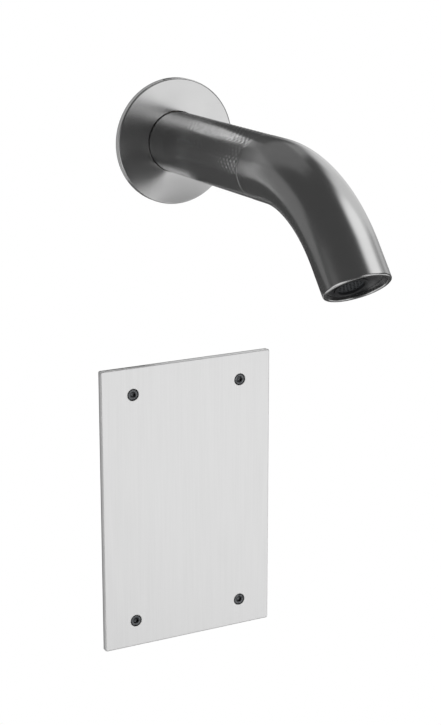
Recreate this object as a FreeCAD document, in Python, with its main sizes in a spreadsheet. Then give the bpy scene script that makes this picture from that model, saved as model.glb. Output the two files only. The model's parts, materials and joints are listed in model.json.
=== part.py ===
import FreeCAD, Part
import os
import re
import Sketcher
from FreeCAD import Placement, Rotation, Vector

# Electronic wall basin mixer: a bent spout on a round flange, and below it a
# cover plate over an in-wall box with the valves and the electronics.
# Millimetres. +X runs along the wall, +Y goes into it and +Z is up.
# The origin is the middle of the flange, on the face of the wall.

SIZES = (
    # Spout as seen from the room
    ("spout_radius", 14.5),
    ("straight_length", 102.0),
    ("bend_radius", 73.3),
    ("bend_angle", 50.0),
    ("end_length", 15.2),
    ("mouth_tilt", 6.0),
    ("nose_wall", 1.8),
    ("sleeve_length", 91.5),
    ("sleeve_wall", 1.9),
    ("barrel_wall", 1.6),
    ("joint_bevel", 0.3),
    ("tube_start", 1.0),
    ("slide_gap", 0.1),
    ("cut_margin", 1.0),
    # Flange and its seal
    ("flange_radius", 30.0),
    ("flange_thickness", 3.6),
    ("flange_bevel", 0.5),
    ("flange_gap", 0.15),
    ("seal_radius", 24.0),
    ("seal_width", 3.0),
    ("seal_depth", 1.5),
    # Hollow shank, its rings and the set screw
    ("shank_reach", 60.0),
    ("shank_bore", 8.0),
    ("collar_radius", 14.0),
    ("collar_thickness", 3.0),
    ("shank_tail", 4.8),
    ("ring_section", 0.6),
    ("ring_gap", 0.05),
    ("first_ring", 48.0),
    ("ring_step", 26.0),
    ("set_screw_place", 11.0),
    ("set_screw_radius", 2.4),
    ("set_screw_socket", 2.5),
    ("set_screw_dimple", 0.8),
    ("thread_gap", 0.1),
    # In-wall bracket of the spout
    ("wall_lining", 14.0),
    ("bracket_width", 74.0),
    ("bracket_height", 40.0),
    ("bracket_thickness", 5.0),
    ("boss_radius", 16.0),
    ("boss_length", 7.0),
    ("bracket_spacing", 54.0),
    ("fixing_radius", 2.75),
    ("washer_radius", 16.0),
    ("washer_thickness", 1.2),
    ("nut_across", 32.0),
    ("nut_thickness", 6.0),
    # Conduit, hose and sensor lead
    ("conduit_wall", 1.6),
    ("conduit_play", 0.2),
    ("conduit_bend", 26.0),
    ("conduit_lead", 0.5),
    ("conduit_entry", 4.0),
    ("seat_gap", 0.3),
    ("hose_radius", 4.0),
    ("hose_bore", 2.6),
    ("hose_height", -2.5),
    ("lead_radius", 1.2),
    ("lead_height", 5.4),
    ("ferrule_wall", 0.8),
    ("ferrule_length", 6.0),
    ("barb_length", 7.0),
    ("spigot_length", 4.5),
    ("spigot_bore", 1.7),
    # Outlet
    ("insert_recess", 3.0),
    ("insert_length", 10.0),
    ("insert_ring_level", 9.0),
    ("aerator_radius", 7.2),
    ("aerator_shift", 4.0),
    ("aerator_wall", 1.3),
    ("aerator_length", 6.8),
    ("aerator_proud", 0.6),
    ("aerator_seal_bore", 3.6),
    ("aerator_seal_thickness", 0.8),
    ("screen_thickness", 0.6),
    ("screen_depth", 1.2),
    ("screen_hole", 0.55),
    ("screen_pitch", 1.7),
    ("sensor_width", 11.8),
    ("sensor_height", 4.8),
    ("sensor_place", -6.6),
    ("lens_thickness", 1.2),
    ("fit_gap", 0.1),
    # Cover plate and its screws
    ("box_x", 5.4),
    ("box_z", -182.4),
    ("plate_width", 93.2),
    ("plate_height", 146.7),
    ("plate_thickness", 3.0),
    ("plate_bevel", 0.25),
    ("screw_inset_x", 17.0),
    ("screw_inset_z", 13.6),
    ("screw_head", 2.75),
    ("screw_head_height", 1.9),
    ("screw_head_sink", 0.15),
    ("screw_head_gap", 0.2),
    ("screw_socket", 2.5),
    ("screw_socket_depth", 1.3),
    ("screw_shaft", 1.45),
    ("screw_length", 14.0),
    ("screw_play", 0.25),
    ("tapping_gap", 0.05),
    # In-wall box
    ("box_width", 84.0),
    ("box_height", 134.0),
    ("box_depth", 84.0),
    ("box_wall", 2.5),
    ("rim_width", 3.0),
    ("rim_depth", 3.0),
    ("rib_height", 1.2),
    ("rib_depth", 3.0),
    ("first_rib", 30.0),
    ("rib_step", 24.0),
    ("gasket_thickness", 1.5),
    ("gasket_width", 9.0),
    ("gasket_edge", 1.1),
    ("corner_wall", 2.1),
    ("corner_recess", 5.9),
    ("corner_depth", 8.6),
    ("box_fixing_x", 68.0),
    ("box_fixing_z", 120.0),
    ("post_radius", 5.0),
    ("grommet_wall", 2.4),
    ("grommet_lip", 1.5),
    # Manifold
    ("block_width", 76.0),
    ("block_low", 11.0),
    ("block_high", 55.0),
    ("block_front", 20.0),
    ("block_depth", 30.0),
    ("post_spread", 68.0),
    ("post_level", 30.0),
    ("block_screw_radius", 2.0),
    ("block_screw_head", 3.3),
    ("block_screw_head_height", 3.0),
    ("block_screw_grip", 10.0),
    ("supply_spacing", 44.0),
    ("port_radius", 8.1),
    ("port_depth", 10.0),
    ("passage_radius", 3.0),
    # Inlets
    ("inlet_thread_radius", 10.48),
    ("inlet_bore", 6.5),
    ("inlet_across", 22.0),
    ("inlet_hex", 4.0),
    ("inlet_neck_radius", 9.8),
    ("inlet_neck", 9.0),
    ("inlet_thread", 15.0),
    ("filter_wall", 0.5),
    ("filter_length", 16.0),
    ("filter_foot", 1.0),
    ("filter_slot", 1.6),
    ("filter_slot_step", 3.2),
    # Service stops
    ("stop_level", 28.0),
    ("stop_radius", 5.0),
    ("stop_depth", 25.0),
    ("stop_head_radius", 3.5),
    ("stop_head_length", 9.0),
    ("stop_setback", 1.0),
    ("stop_slot", 1.0),
    ("stop_slot_depth", 1.5),
    ("gland_across", 12.0),
    ("gland_length", 4.0),
    ("turning_gap", 0.06),
    # Check valves
    ("chamber_radius", 7.2),
    ("chamber_depth", 20.0),
    ("side_level", 45.0),
    ("seat_thickness", 2.5),
    ("seat_bore", 3.0),
    ("poppet_radius", 4.6),
    ("poppet_thickness", 1.5),
    ("stem_radius", 1.2),
    ("stem_length", 12.5),
    ("poppet_lift", 2.5),
    ("check_coil_radius", 2.9),
    ("check_wire", 0.35),
    ("check_turns", 5.0),
    ("cap_plug", 6.0),
    ("cap_across", 13.0),
    ("cap_head", 4.0),
    # Mixing cartridge
    ("mixer_level", 41.0),
    ("mixer_radius", 10.0),
    ("mixer_depth", 24.0),
    ("cartridge_gap", 0.3),
    ("spindle_radius", 4.0),
    ("spindle_depth", 13.0),
    ("spindle_reach", 11.0),
    ("spindle_flat", 1.0),
    ("mixer_inlet", 2.5),
    ("lock_ring_radius", 12.0),
    ("lock_ring_thickness", 3.0),
    ("knob_radius", 10.0),
    ("knob_length", 7.0),
    ("knob_flutes", 12.0),
    ("flute_radius", 1.6),
    ("knob_screw_radius", 1.4),
    ("knob_screw_length", 6.0),
    ("knob_screw_head", 5.6),
    ("knob_screw_head_height", 1.6),
    ("knob_screw_socket", 2.2),
    # Solenoid valve
    ("valve_y", 38.0),
    ("valve_radius", 13.0),
    ("valve_height", 12.0),
    ("valve_floor", 4.0),
    ("valve_chamber_radius", 8.0),
    ("valve_seat_radius", 4.0),
    ("valve_seat_bore", 2.5),
    ("valve_seat_height", 1.5),
    ("arm_radius", 4.5),
    ("arm_rise", 6.8),
    ("tower_radius", 5.6),
    ("arm_root", 1.0),
    ("tower_height", 6.0),
    ("bonnet_thickness", 4.0),
    ("bonnet_screw_circle", 10.5),
    ("bonnet_screw_radius", 1.2),
    ("bonnet_screw_head", 2.0),
    ("bonnet_screw_head_height", 1.6),
    ("bonnet_screw_grip", 5.0),
    ("bonnet_screw_hole", 6.0),
    ("plunger_radius", 4.5),
    ("plunger_length", 23.0),
    ("plunger_lift", 2.0),
    ("plunger_seal_radius", 4.4),
    ("plunger_seal_thickness", 1.5),
    ("spring_pocket_radius", 3.2),
    ("spring_pocket_depth", 6.0),
    ("plunger_coil_radius", 2.4),
    ("plunger_wire", 0.35),
    ("plunger_turns", 6.0),
    ("armature_wall", 0.9),
    ("pole_length", 7.2),
    ("coil_radius", 12.0),
    ("coil_height", 17.5),
    ("terminal_width", 12.0),
    ("terminal_depth", 8.0),
    ("terminal_height", 10.0),
    ("terminal_offset", 14.4),
    ("coil_nut_across", 14.0),
    ("coil_nut_height", 3.6),
    ("connector_hex", 4.0),
    ("connector_across", 11.2),
    # Electronics and battery
    ("case_left", -38.5),
    ("case_right", -14.0),
    ("case_low", -4.0),
    ("case_high", 56.0),
    ("case_front", 58.0),
    ("case_wall", 1.8),
    ("lid_thickness", 1.6),
    ("board_thickness", 1.6),
    ("board_setback", 7.0),
    ("board_margin", 0.4),
    ("pillar_radius", 1.5),
    ("pillar_inset", 9.0),
    ("sensor_lead_bend", 8.0),
    ("sensor_lead_level", 44.0),
    ("lead_stub_radius", 1.1),
    ("stub_inset", 2.5),
    ("battery_width", 36.0),
    ("battery_thickness", 19.5),
    ("battery_length", 35.0),
    ("battery_front", 8.0),
    ("holder_wall", 1.5),
    ("battery_play", 0.3),
    ("battery_lead_x", -17.0),
    ("battery_lead_level", 50.0),
)

# Parts on the circuit board: place along X and Z, width, height and how far they stand out
CHIPS = (
    ("driver", 4.0, 8.0, 10.0, 10.0, 1.6),
    ("relay", 3.0, 24.0, 6.0, 12.0, 4.0),
    ("timer", 12.0, 26.0, 5.0, 8.0, 2.5),
    ("socket", 4.0, 42.0, 13.0, 9.0, 5.0),
)
CHIP_SIZES = ("across", "up", "width", "height", "depth")

ALIASES = {name for name, value in SIZES}
ALIASES |= {"%s_%s" % (chip[0], word) for chip in CHIPS for word in CHIP_SIZES}
WORD = re.compile(r"[a-z][a-z_]*[a-z]")
TURNS = {
    "X": Rotation(Vector(0, 1, 0), 90),
    "Y": Rotation(Vector(1, 0, 0), -90),
    "Z": Rotation(),
}

# Places that several pieces share, worked out from the sizes
BARREL_RADIUS = "(spout_radius - sleeve_wall - slide_gap)"
BARREL_BORE = "(spout_radius - sleeve_wall - slide_gap - barrel_wall)"
SHANK_RADIUS = "(spout_radius - sleeve_wall - barrel_wall - 2 * slide_gap)"
NOSE_BORE = "(spout_radius - nose_wall)"
BOSS_BACK = "(wall_lining + bracket_thickness + boss_length)"
NUT_BACK = "(wall_lining + bracket_thickness + boss_length + washer_thickness + nut_thickness)"
SHANK_END = "(%s + shank_tail)" % NUT_BACK
BEND_BACK = "(%s + conduit_lead)" % SHANK_END
RISER_Y = "(%s + conduit_bend)" % BEND_BACK
CONDUIT_BORE = "(%s + conduit_play)" % SHANK_RADIUS
CONDUIT_RADIUS = "(%s + conduit_wall)" % CONDUIT_BORE
OUTLET_Y = "(-straight_length - bend_radius * sin(bend_angle) - end_length * cos(bend_angle))"
OUTLET_Z = "(-bend_radius * (1 - cos(bend_angle)) - end_length * sin(bend_angle))"
BOX_TOP = "(box_z + box_height / 2)"
BOX_LOW = "(box_z - box_height / 2)"
BOX_FLOOR = "(box_depth - box_wall)"
HOSE_Y = "(%s + hose_height)" % RISER_Y
LEAD_Y = "(%s + lead_height)" % RISER_Y
WATER_Y = "(block_front + block_depth / 2)"
BLOCK_LOW = "(%s + block_low)" % BOX_LOW
BLOCK_TOP = "(%s + block_high)" % BOX_LOW
POST_Z = "(%s + post_level)" % BOX_LOW
STOP_Z = "(%s + stop_level)" % BOX_LOW
SIDE_Z = "(%s + side_level)" % BOX_LOW
MIXER_Z = "(%s + mixer_level)" % BOX_LOW
VALVE_TOP = "(%s + valve_height)" % BLOCK_TOP
BONNET_TOP = "(%s + bonnet_thickness)" % VALVE_TOP
SEAT_LEVEL = "(%s + valve_floor + valve_seat_height)" % BLOCK_TOP
PLUNGER_LOW = "(%s + plunger_seal_thickness)" % SEAT_LEVEL
PLUNGER_TOP = "(%s + plunger_length)" % PLUNGER_LOW
POLE_LOW = "(%s + plunger_lift + seat_gap)" % PLUNGER_TOP
TOWER_TOP = "(%s + arm_rise + tower_height)" % BLOCK_TOP
CHAMBER_LOW = "(%s - chamber_depth)" % BLOCK_TOP
POPPET_LOW = "(%s + seat_thickness)" % CHAMBER_LOW
CAP_LOW = "(%s - cap_plug)" % BLOCK_TOP
STEM_TOP = "(%s + poppet_thickness + stem_length)" % POPPET_LOW
KNOB_FRONT = "(block_front - spindle_reach)"
HOT_X = "(box_x - supply_spacing / 2)"
COLD_X = "(box_x + supply_spacing / 2)"
SIDES = (("hot", HOT_X), ("cold", COLD_X))

doc = FreeCAD.newDocument("wall_basin_mixer")
sheet = doc.addObject("Spreadsheet::Sheet", "Sizes")
nodes = {}


def fill_sheet():
    """One row of the sheet for each size: its word and its value."""
    chips = [
        ("%s_%s" % (chip[0], word), value)
        for chip in CHIPS
        for word, value in zip(CHIP_SIZES, chip[1:])
    ]
    for row, (name, value) in enumerate(list(SIZES) + chips, start=1):
        sheet.set("A%d" % row, name)
        sheet.set("B%d" % row, str(value))
        sheet.setAlias("B%d" % row, name)
    doc.recompute()


def size(name):
    """The value of one size, read from the sheet."""
    return float(sheet.get(name))


def value(text):
    """The value of an expression of sizes."""
    return float(sheet.evalExpression(cell(text)))


def cell(text):
    """An expression in which each size is named in full."""
    return WORD.sub(lambda m: "Sizes." + m.group() if m.group() in ALIASES else m.group(), str(text))


def bind(item, **sizes):
    """Tie properties of an object to the sheet."""
    for name, text in sizes.items():
        item.setExpression(name, cell(text))
    return item


def move(item, x, y, z):
    """Tie the place of an object to the sheet."""
    for letter, text in zip("xyz", (x, y, z)):
        item.setExpression("Placement.Base." + letter, cell(text))
    return item


def keep(node, item):
    """Name the finished piece."""
    item.Label = node
    nodes[node] = item
    return item


# Solids of revolution, bars and boxes

def rod(radius, length, axis, x, y, z):
    """A round bar that starts at a point and runs along a positive axis."""
    item = doc.addObject("Part::Cylinder", "rod")
    item.Placement = Placement(Vector(), TURNS[axis])
    bind(item, Radius=radius, Height=length)
    return move(item, x, y, z)


def hexagon(across, length, axis, x, y, z):
    """A six-sided bar, given across its flats."""
    item = doc.addObject("Part::Prism", "hexagon")
    item.Placement = Placement(Vector(), TURNS[axis])
    item.Polygon = 6
    bind(item, Circumradius="(%s) / 2 / cos(30)" % across, Height=length)
    return move(item, x, y, z)


def block(x, y, z, width, depth, height):
    """A box from its lowest corner."""
    item = doc.addObject("Part::Box", "block")
    bind(item, Length=width, Width=depth, Height=height)
    return move(item, x, y, z)


def torus(radius, section, axis, x, y, z):
    """A round ring of round section."""
    item = doc.addObject("Part::Torus", "torus")
    item.Placement = Placement(Vector(), TURNS[axis])
    bind(item, Radius1=radius, Radius2=section)
    return move(item, x, y, z)


def join(*items):
    """One shape of several that touch, or a group of those that don't."""
    if len(items) == 1:
        return items[0]
    item = doc.addObject("Part::MultiFuse", "join")
    item.Shapes = list(items)
    return item


def group(*items):
    """Separate solids under one name."""
    item = doc.addObject("Part::Compound", "group")
    item.Links = list(items)
    return item


def cut(base, *tools):
    """A piece less its holes."""
    item = doc.addObject("Part::Cut", "cut")
    item.Base = base
    item.Tool = join(*tools)
    return item


def ring(outer, inner, length, axis, x, y, z):
    """A round sleeve."""
    return cut(rod(outer, length, axis, x, y, z), rod(inner, length, axis, x, y, z))


def at_outlet(item):
    """Carry a piece made about the origin to the outlet, with its +Z up into the spout."""
    item.Placement = Placement(Vector(), Rotation(Vector(1, 0, 0), -1))
    item.setExpression("Placement.Rotation.Angle", cell("bend_angle - 90"))
    return move(item, 0, OUTLET_Y, OUTLET_Z)


# Sketches and bodies

def new_body(node):
    """An empty body, kept under the node's name."""
    body = doc.addObject("PartDesign::Body", "body")
    keep(node, body)
    doc.recompute()
    return body


def sketch_on(body, role):
    """A sketch on one of the body's own planes."""
    sketch = body.newObject("Sketcher::SketchObject", "sketch")
    plane = [item for item in body.Origin.OriginFeatures if item.Role == role][0]
    sketch.AttachmentSupport = (plane, [""])
    sketch.MapMode = "FlatFace"
    return sketch


def tie(sketch, kind, name, text, *where):
    """A named constraint, held by the sheet."""
    index = sketch.addConstraint(Sketcher.Constraint(kind, *where, 1.0))
    sketch.renameConstraint(index, name)
    sketch.setExpression("Constraints." + name, cell(text))


def outline(sketch, corners):
    """A closed outline of straight lines through corners given as expressions."""
    count = len(corners)
    first = sketch.GeometryCount
    for i in range(count):
        sketch.addGeometry(Part.LineSegment(Vector(i, 0, 0), Vector(i + 1, 1, 0)))
    for i in range(count):
        sketch.addConstraint(Sketcher.Constraint("Coincident", first + i, 2, first + (i + 1) % count, 1))
    for i, (across, along) in enumerate(corners):
        tie(sketch, "DistanceX", "x%d" % (first + i), across, -1, 1, first + i, 1)
        tie(sketch, "DistanceY", "y%d" % (first + i), along, -1, 1, first + i, 1)


def circle(sketch, radius, x="0", y="0"):
    """A circle whose radius and middle are expressions."""
    index = sketch.addGeometry(Part.Circle(Vector(0, 0, 0), Vector(0, 0, 1), 1.0))
    tie(sketch, "Radius", "r%d" % index, radius, index)
    tie(sketch, "DistanceX", "x%d" % index, x, -1, 1, index, 3)
    tie(sketch, "DistanceY", "y%d" % index, y, -1, 1, index, 3)


def rectangle(sketch, left, right, low, high):
    """A rectangle between four expressions."""
    outline(sketch, [(left, low), (right, low), (right, high), (left, high)])


def turned(body, corners):
    """A full turn about the Y axis of a profile of (radius, y) corners."""
    sketch = sketch_on(body, "XY_Plane")
    outline(sketch, corners)
    feature = body.newObject("PartDesign::Revolution", "turned")
    feature.Profile = sketch
    feature.ReferenceAxis = (sketch, ["V_Axis"])
    feature.Angle = 360
    return feature


def pad(body, sketch, length, reverse=False):
    """Material grown from a sketch."""
    feature = body.newObject("PartDesign::Pad", "pad")
    feature.Profile = sketch
    feature.Reversed = reverse
    bind(feature, Length=length)
    return feature


def pocket(body, sketch, length, reverse=False):
    """Material taken away from a sketch. It has to take some."""
    doc.recompute()
    before = body.Shape.Volume
    feature = body.newObject("PartDesign::Pocket", "pocket")
    feature.Profile = sketch
    feature.Reversed = reverse
    bind(feature, Length=length)
    doc.recompute()
    if body.Shape.Volume >= before:
        raise ValueError("a pocket in %s cuts nothing" % body.Label)
    return feature


# Pipes that follow the spout: a level run along Y, with a bend down at either end.
# A pipe above or below the middle line bends about the same centres.

def wall_section(body, outer, bore, height, y):
    """The section of a pipe on a plane parallel with the wall, looking out of it."""
    sketch = sketch_on(body, "XZ_Plane")
    sketch.setExpression("AttachmentOffset.Base.z", cell("-(%s)" % y))
    circle(sketch, outer, "0", height)
    if bore:
        circle(sketch, bore, "0", height)
    return sketch


def bend_down(body, sketch, centre, angle, reverse):
    """Turn a section about a level axis below it."""
    line = Part.LineSegment(Vector(-1, -9, 0), Vector(1, -9, 0))
    index = sketch.addGeometry(line, True)
    sketch.addConstraint(Sketcher.Constraint("Horizontal", index))
    tie(sketch, "DistanceX", "left", "-1", -1, 1, index, 1)
    tie(sketch, "DistanceX", "right", "1", -1, 1, index, 2)
    tie(sketch, "DistanceY", "centre", "-(%s)" % centre, -1, 1, index, 1)
    feature = body.newObject("PartDesign::Revolution", "bend")
    feature.Profile = sketch
    feature.ReferenceAxis = (sketch, ["Axis0"])
    feature.Reversed = reverse
    bind(feature, Angle=angle)
    return feature


def level_run(body, outer, bore, height, front, back):
    """The level stretch of a pipe, between two places on Y."""
    pad(body, wall_section(body, outer, bore, height, front), "%s - (%s)" % (back, front), True)


def front_bend(body, outer, bore, height, end):
    """The bend of the spout and the straight stretch after it."""
    section = wall_section(body, outer, bore, height, "-straight_length")
    bend_down(body, section, "bend_radius", "bend_angle", False)
    sketch = sketch_on(body, "XZ_Plane")
    sketch.AttachmentOffset = Placement(Vector(), Rotation(Vector(1, 0, 0), 1))
    sketch.setExpression("AttachmentOffset.Rotation.Angle", cell("bend_angle"))
    sketch.setExpression("AttachmentOffset.Base.y", cell("-bend_radius * (1 - cos(bend_angle))"))
    sketch.setExpression(
        "AttachmentOffset.Base.z", cell("straight_length + bend_radius * sin(bend_angle)")
    )
    circle(sketch, outer, "0", height)
    if bore:
        circle(sketch, bore, "0", height)
    pad(body, sketch, end)


def back_bend(body, outer, bore, height, low):
    """The bend behind the wall and the drop to a level."""
    section = wall_section(body, outer, bore, height, BEND_BACK)
    bend_down(body, section, "conduit_bend", "90", True)
    sketch = sketch_on(body, "XY_Plane")
    sketch.setExpression("AttachmentOffset.Base.z", cell("-conduit_bend"))
    circle(sketch, outer, "0", "%s + %s" % (RISER_Y, height))
    if bore:
        circle(sketch, bore, "0", "%s + %s" % (RISER_Y, height))
    pad(body, sketch, "-conduit_bend - (%s)" % low, True)


# Spout and its mounting

def wall_flange():
    hole = "spout_radius + flange_gap"
    groove = "seal_radius + seal_width"
    turned(new_body("wall_flange"), [
        (hole, "0"),
        ("seal_radius", "0"),
        ("seal_radius", "-seal_depth"),
        (groove, "-seal_depth"),
        (groove, "0"),
        ("flange_radius", "0"),
        ("flange_radius", "flange_bevel - flange_thickness"),
        ("flange_radius - flange_bevel", "-flange_thickness"),
        (hole, "-flange_thickness"),
    ])


def flange_seal():
    outer = "seal_radius + seal_width - fit_gap"
    keep("flange_seal", ring(outer, "seal_radius + fit_gap", "seal_depth", "Y", 0, "-seal_depth", 0))


def set_screw_hole(body, low):
    """The hole of the set screw, up from below the spout to a level."""
    sketch = sketch_on(body, "XY_Plane")
    sketch.setExpression("AttachmentOffset.Base.z", cell("-spout_radius - cut_margin"))
    circle(sketch, "set_screw_radius + thread_gap", "0", "-set_screw_place")
    pocket(body, sketch, "spout_radius + cut_margin + %s" % low, True)


def textured_sleeve():
    body = new_body("textured_sleeve")
    inner = "spout_radius - sleeve_wall"
    turned(body, [
        (inner, "-tube_start"),
        ("spout_radius", "-tube_start"),
        ("spout_radius", "joint_bevel - sleeve_length"),
        ("spout_radius - joint_bevel", "-sleeve_length"),
        (inner, "-sleeve_length"),
    ])
    set_screw_hole(body, "0")


def spout_tube():
    body = new_body("spout_tube")
    turned(body, [
        (BARREL_BORE, "-tube_start"),
        (BARREL_RADIUS, "-tube_start"),
        (BARREL_RADIUS, "-sleeve_length"),
        ("spout_radius - joint_bevel", "-sleeve_length"),
        ("spout_radius", "-sleeve_length - joint_bevel"),
        ("spout_radius", "-straight_length"),
        (BARREL_BORE, "-straight_length"),
    ])
    spare = "end_length + spout_radius * tan(mouth_tilt) + cut_margin"
    front_bend(body, "spout_radius", NOSE_BORE, "0", spare)
    mouth = sketch_on(body, "XZ_Plane")
    mouth.AttachmentOffset = Placement(Vector(), Rotation(Vector(1, 0, 0), 1))
    mouth.setExpression("AttachmentOffset.Rotation.Angle", cell("bend_angle + mouth_tilt"))
    mouth.setExpression("AttachmentOffset.Base.y", cell(OUTLET_Z))
    mouth.setExpression("AttachmentOffset.Base.z", cell("-" + OUTLET_Y))
    circle(mouth, "spout_radius + cut_margin", "0", "0")
    pocket(body, mouth, "2 * spout_radius", True)
    set_screw_hole(body, "0")


def wall_shank():
    body = new_body("wall_shank")
    groove = "%s - 2 * ring_section" % SHANK_RADIUS
    half = "(ring_section + ring_gap)"
    corners = [("shank_bore", "-shank_reach"), (SHANK_RADIUS, "-shank_reach")]
    for place in ("first_ring", "(first_ring - ring_step)"):
        corners += [
            (SHANK_RADIUS, "-%s - %s" % (place, half)),
            (groove, "-%s - %s" % (place, half)),
            (groove, "-%s + %s" % (place, half)),
            (SHANK_RADIUS, "-%s + %s" % (place, half)),
        ]
    turned(body, corners + [
        (SHANK_RADIUS, "wall_lining - collar_thickness"),
        ("collar_radius", "wall_lining - collar_thickness"),
        ("collar_radius", "wall_lining"),
        (SHANK_RADIUS, "wall_lining"),
        (SHANK_RADIUS, SHANK_END),
        ("shank_bore", SHANK_END),
    ])
    set_screw_hole(body, "set_screw_dimple - %s" % SHANK_RADIUS)


def shank_o_rings():
    radius = "%s - ring_section + ring_gap" % SHANK_RADIUS
    places = ("first_ring", "(first_ring - ring_step)")
    keep("shank_o_rings", group(*[torus(radius, "ring_section", "Y", 0, "-" + y, 0) for y in places]))


def spout_grub_screw():
    low = "joint_bevel - spout_radius"
    high = "(set_screw_dimple - %s - fit_gap)" % SHANK_RADIUS
    screw = rod("set_screw_radius", "%s - (%s)" % (high, low), "Z", 0, "-set_screw_place", low)
    socket = hexagon("set_screw_socket", "set_screw_socket", "Z", 0, "-set_screw_place", low)
    keep("spout_grub_screw", cut(screw, socket))


def spout_bracket():
    body = new_body("spout_bracket")
    half_width = "bracket_width / 2"
    half_height = "bracket_height / 2"
    plate = sketch_on(body, "XZ_Plane")
    plate.setExpression("AttachmentOffset.Base.z", cell("-wall_lining"))
    rectangle(plate, "-" + half_width, half_width, "-" + half_height, half_height)
    pad(body, plate, "bracket_thickness", True)
    boss = sketch_on(body, "XZ_Plane")
    boss.setExpression("AttachmentOffset.Base.z", cell("-wall_lining"))
    circle(boss, "boss_radius")
    pad(body, boss, "bracket_thickness + boss_length", True)
    holes = sketch_on(body, "XZ_Plane")
    holes.setExpression("AttachmentOffset.Base.z", cell("-wall_lining"))
    circle(holes, "%s + slide_gap" % SHANK_RADIUS)
    circle(holes, "fixing_radius", "bracket_spacing / 2")
    circle(holes, "fixing_radius", "-bracket_spacing / 2")
    pocket(body, holes, "bracket_thickness + boss_length", False)


def lock_washer():
    inner = "%s + slide_gap" % SHANK_RADIUS
    keep("lock_washer", ring("washer_radius", inner, "washer_thickness", "Y", 0, BOSS_BACK, 0))


def lock_nut():
    start = "%s + washer_thickness" % BOSS_BACK
    nut = hexagon("nut_across", "nut_thickness", "Y", 0, start, 0)
    hole = rod("%s + slide_gap" % SHANK_RADIUS, "nut_thickness", "Y", 0, start, 0)
    keep("lock_nut", cut(nut, hole))


def conduit():
    body = new_body("conduit")
    level_run(body, CONDUIT_RADIUS, CONDUIT_BORE, "0", "%s + seat_gap" % NUT_BACK, BEND_BACK)
    back_bend(body, CONDUIT_RADIUS, CONDUIT_BORE, "0", "%s - conduit_entry" % BOX_TOP)


def water_hose():
    body = new_body("water_hose")
    level_run(body, "hose_radius", "hose_bore", "hose_height", "-straight_length", BEND_BACK)
    end = "end_length - insert_recess - insert_length - seat_gap"
    front_bend(body, "hose_radius", "hose_bore", "hose_height", end)
    back_bend(body, "hose_radius", "hose_bore", "hose_height", "%s + connector_hex" % TOWER_TOP)


def hose_ferrule():
    outer = "hose_radius + ferrule_wall + ring_gap"
    inner = "hose_radius + ring_gap"
    low = "%s + connector_hex + seat_gap" % TOWER_TOP
    keep("hose_ferrule", ring(outer, inner, "ferrule_length", "Z", 0, HOSE_Y, low))


def sensor_lead():
    body = new_body("sensor_lead")
    level_run(body, "lead_radius", None, "lead_height", "-straight_length", BEND_BACK)
    front_bend(body, "lead_radius", None, "lead_height", "end_length - insert_recess - insert_length")
    turn = "(box_z + sensor_lead_level + sensor_lead_bend)"
    back_bend(body, "lead_radius", None, "lead_height", turn)
    side = sketch_on(body, "XY_Plane")
    side.setExpression("AttachmentOffset.Base.z", cell(turn))
    circle(side, "lead_radius", "0", LEAD_Y)
    index = side.addGeometry(Part.LineSegment(Vector(-9, -1, 0), Vector(-9, 1, 0)), True)
    side.addConstraint(Sketcher.Constraint("Vertical", index))
    tie(side, "DistanceY", "low", "-1", -1, 1, index, 1)
    tie(side, "DistanceY", "high", "1", -1, 1, index, 2)
    tie(side, "DistanceX", "centre", "-sensor_lead_bend", -1, 1, index, 1)
    bend = body.newObject("PartDesign::Revolution", "bend")
    bend.Profile = side
    bend.ReferenceAxis = (side, ["Axis0"])
    bend.Angle = 90
    bend.Reversed = False
    last = sketch_on(body, "YZ_Plane")
    last.setExpression("AttachmentOffset.Base.z", cell("-sensor_lead_bend"))
    circle(last, "lead_radius", LEAD_Y, "box_z + sensor_lead_level")
    pad(body, last, "-sensor_lead_bend - (box_x + case_right)", True)


# Outlet, made about the origin with its mouth at zero and +Z up into the spout

def outlet_insert():
    top = "insert_recess + insert_length"
    well = "aerator_length - aerator_proud + aerator_seal_thickness"
    radius = "%s - fit_gap" % NOSE_BORE
    body = rod(radius, "insert_length", "Z", 0, 0, "insert_recess")
    spigot = rod("hose_bore - fit_gap", "spigot_length", "Z", 0, "-hose_height", top)
    aerator = rod("aerator_radius + fit_gap", well, "Z", 0, "aerator_shift", "insert_recess")
    water = rod("spigot_bore", "insert_length + spigot_length", "Z", 0, "-hose_height", "insert_recess")
    window = block(
        "-sensor_width / 2 - fit_gap", "sensor_place - sensor_height / 2 - fit_gap", "insert_recess",
        "sensor_width + 2 * fit_gap", "sensor_height + 2 * fit_gap", "insert_length",
    )
    middle = "insert_ring_level"
    groove = ring(
        "spout_radius", "%s - 2 * ring_section" % radius, "2 * (ring_section + ring_gap)", "Z", 0, 0,
        "%s - ring_section - ring_gap" % middle,
    )
    keep("outlet_insert", at_outlet(cut(join(body, spigot), aerator, water, window, groove)))
    seal = torus("%s - ring_section + ring_gap" % radius, "ring_section", "Z", 0, 0, middle)
    keep("insert_o_ring", at_outlet(join(group(seal))))


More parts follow.
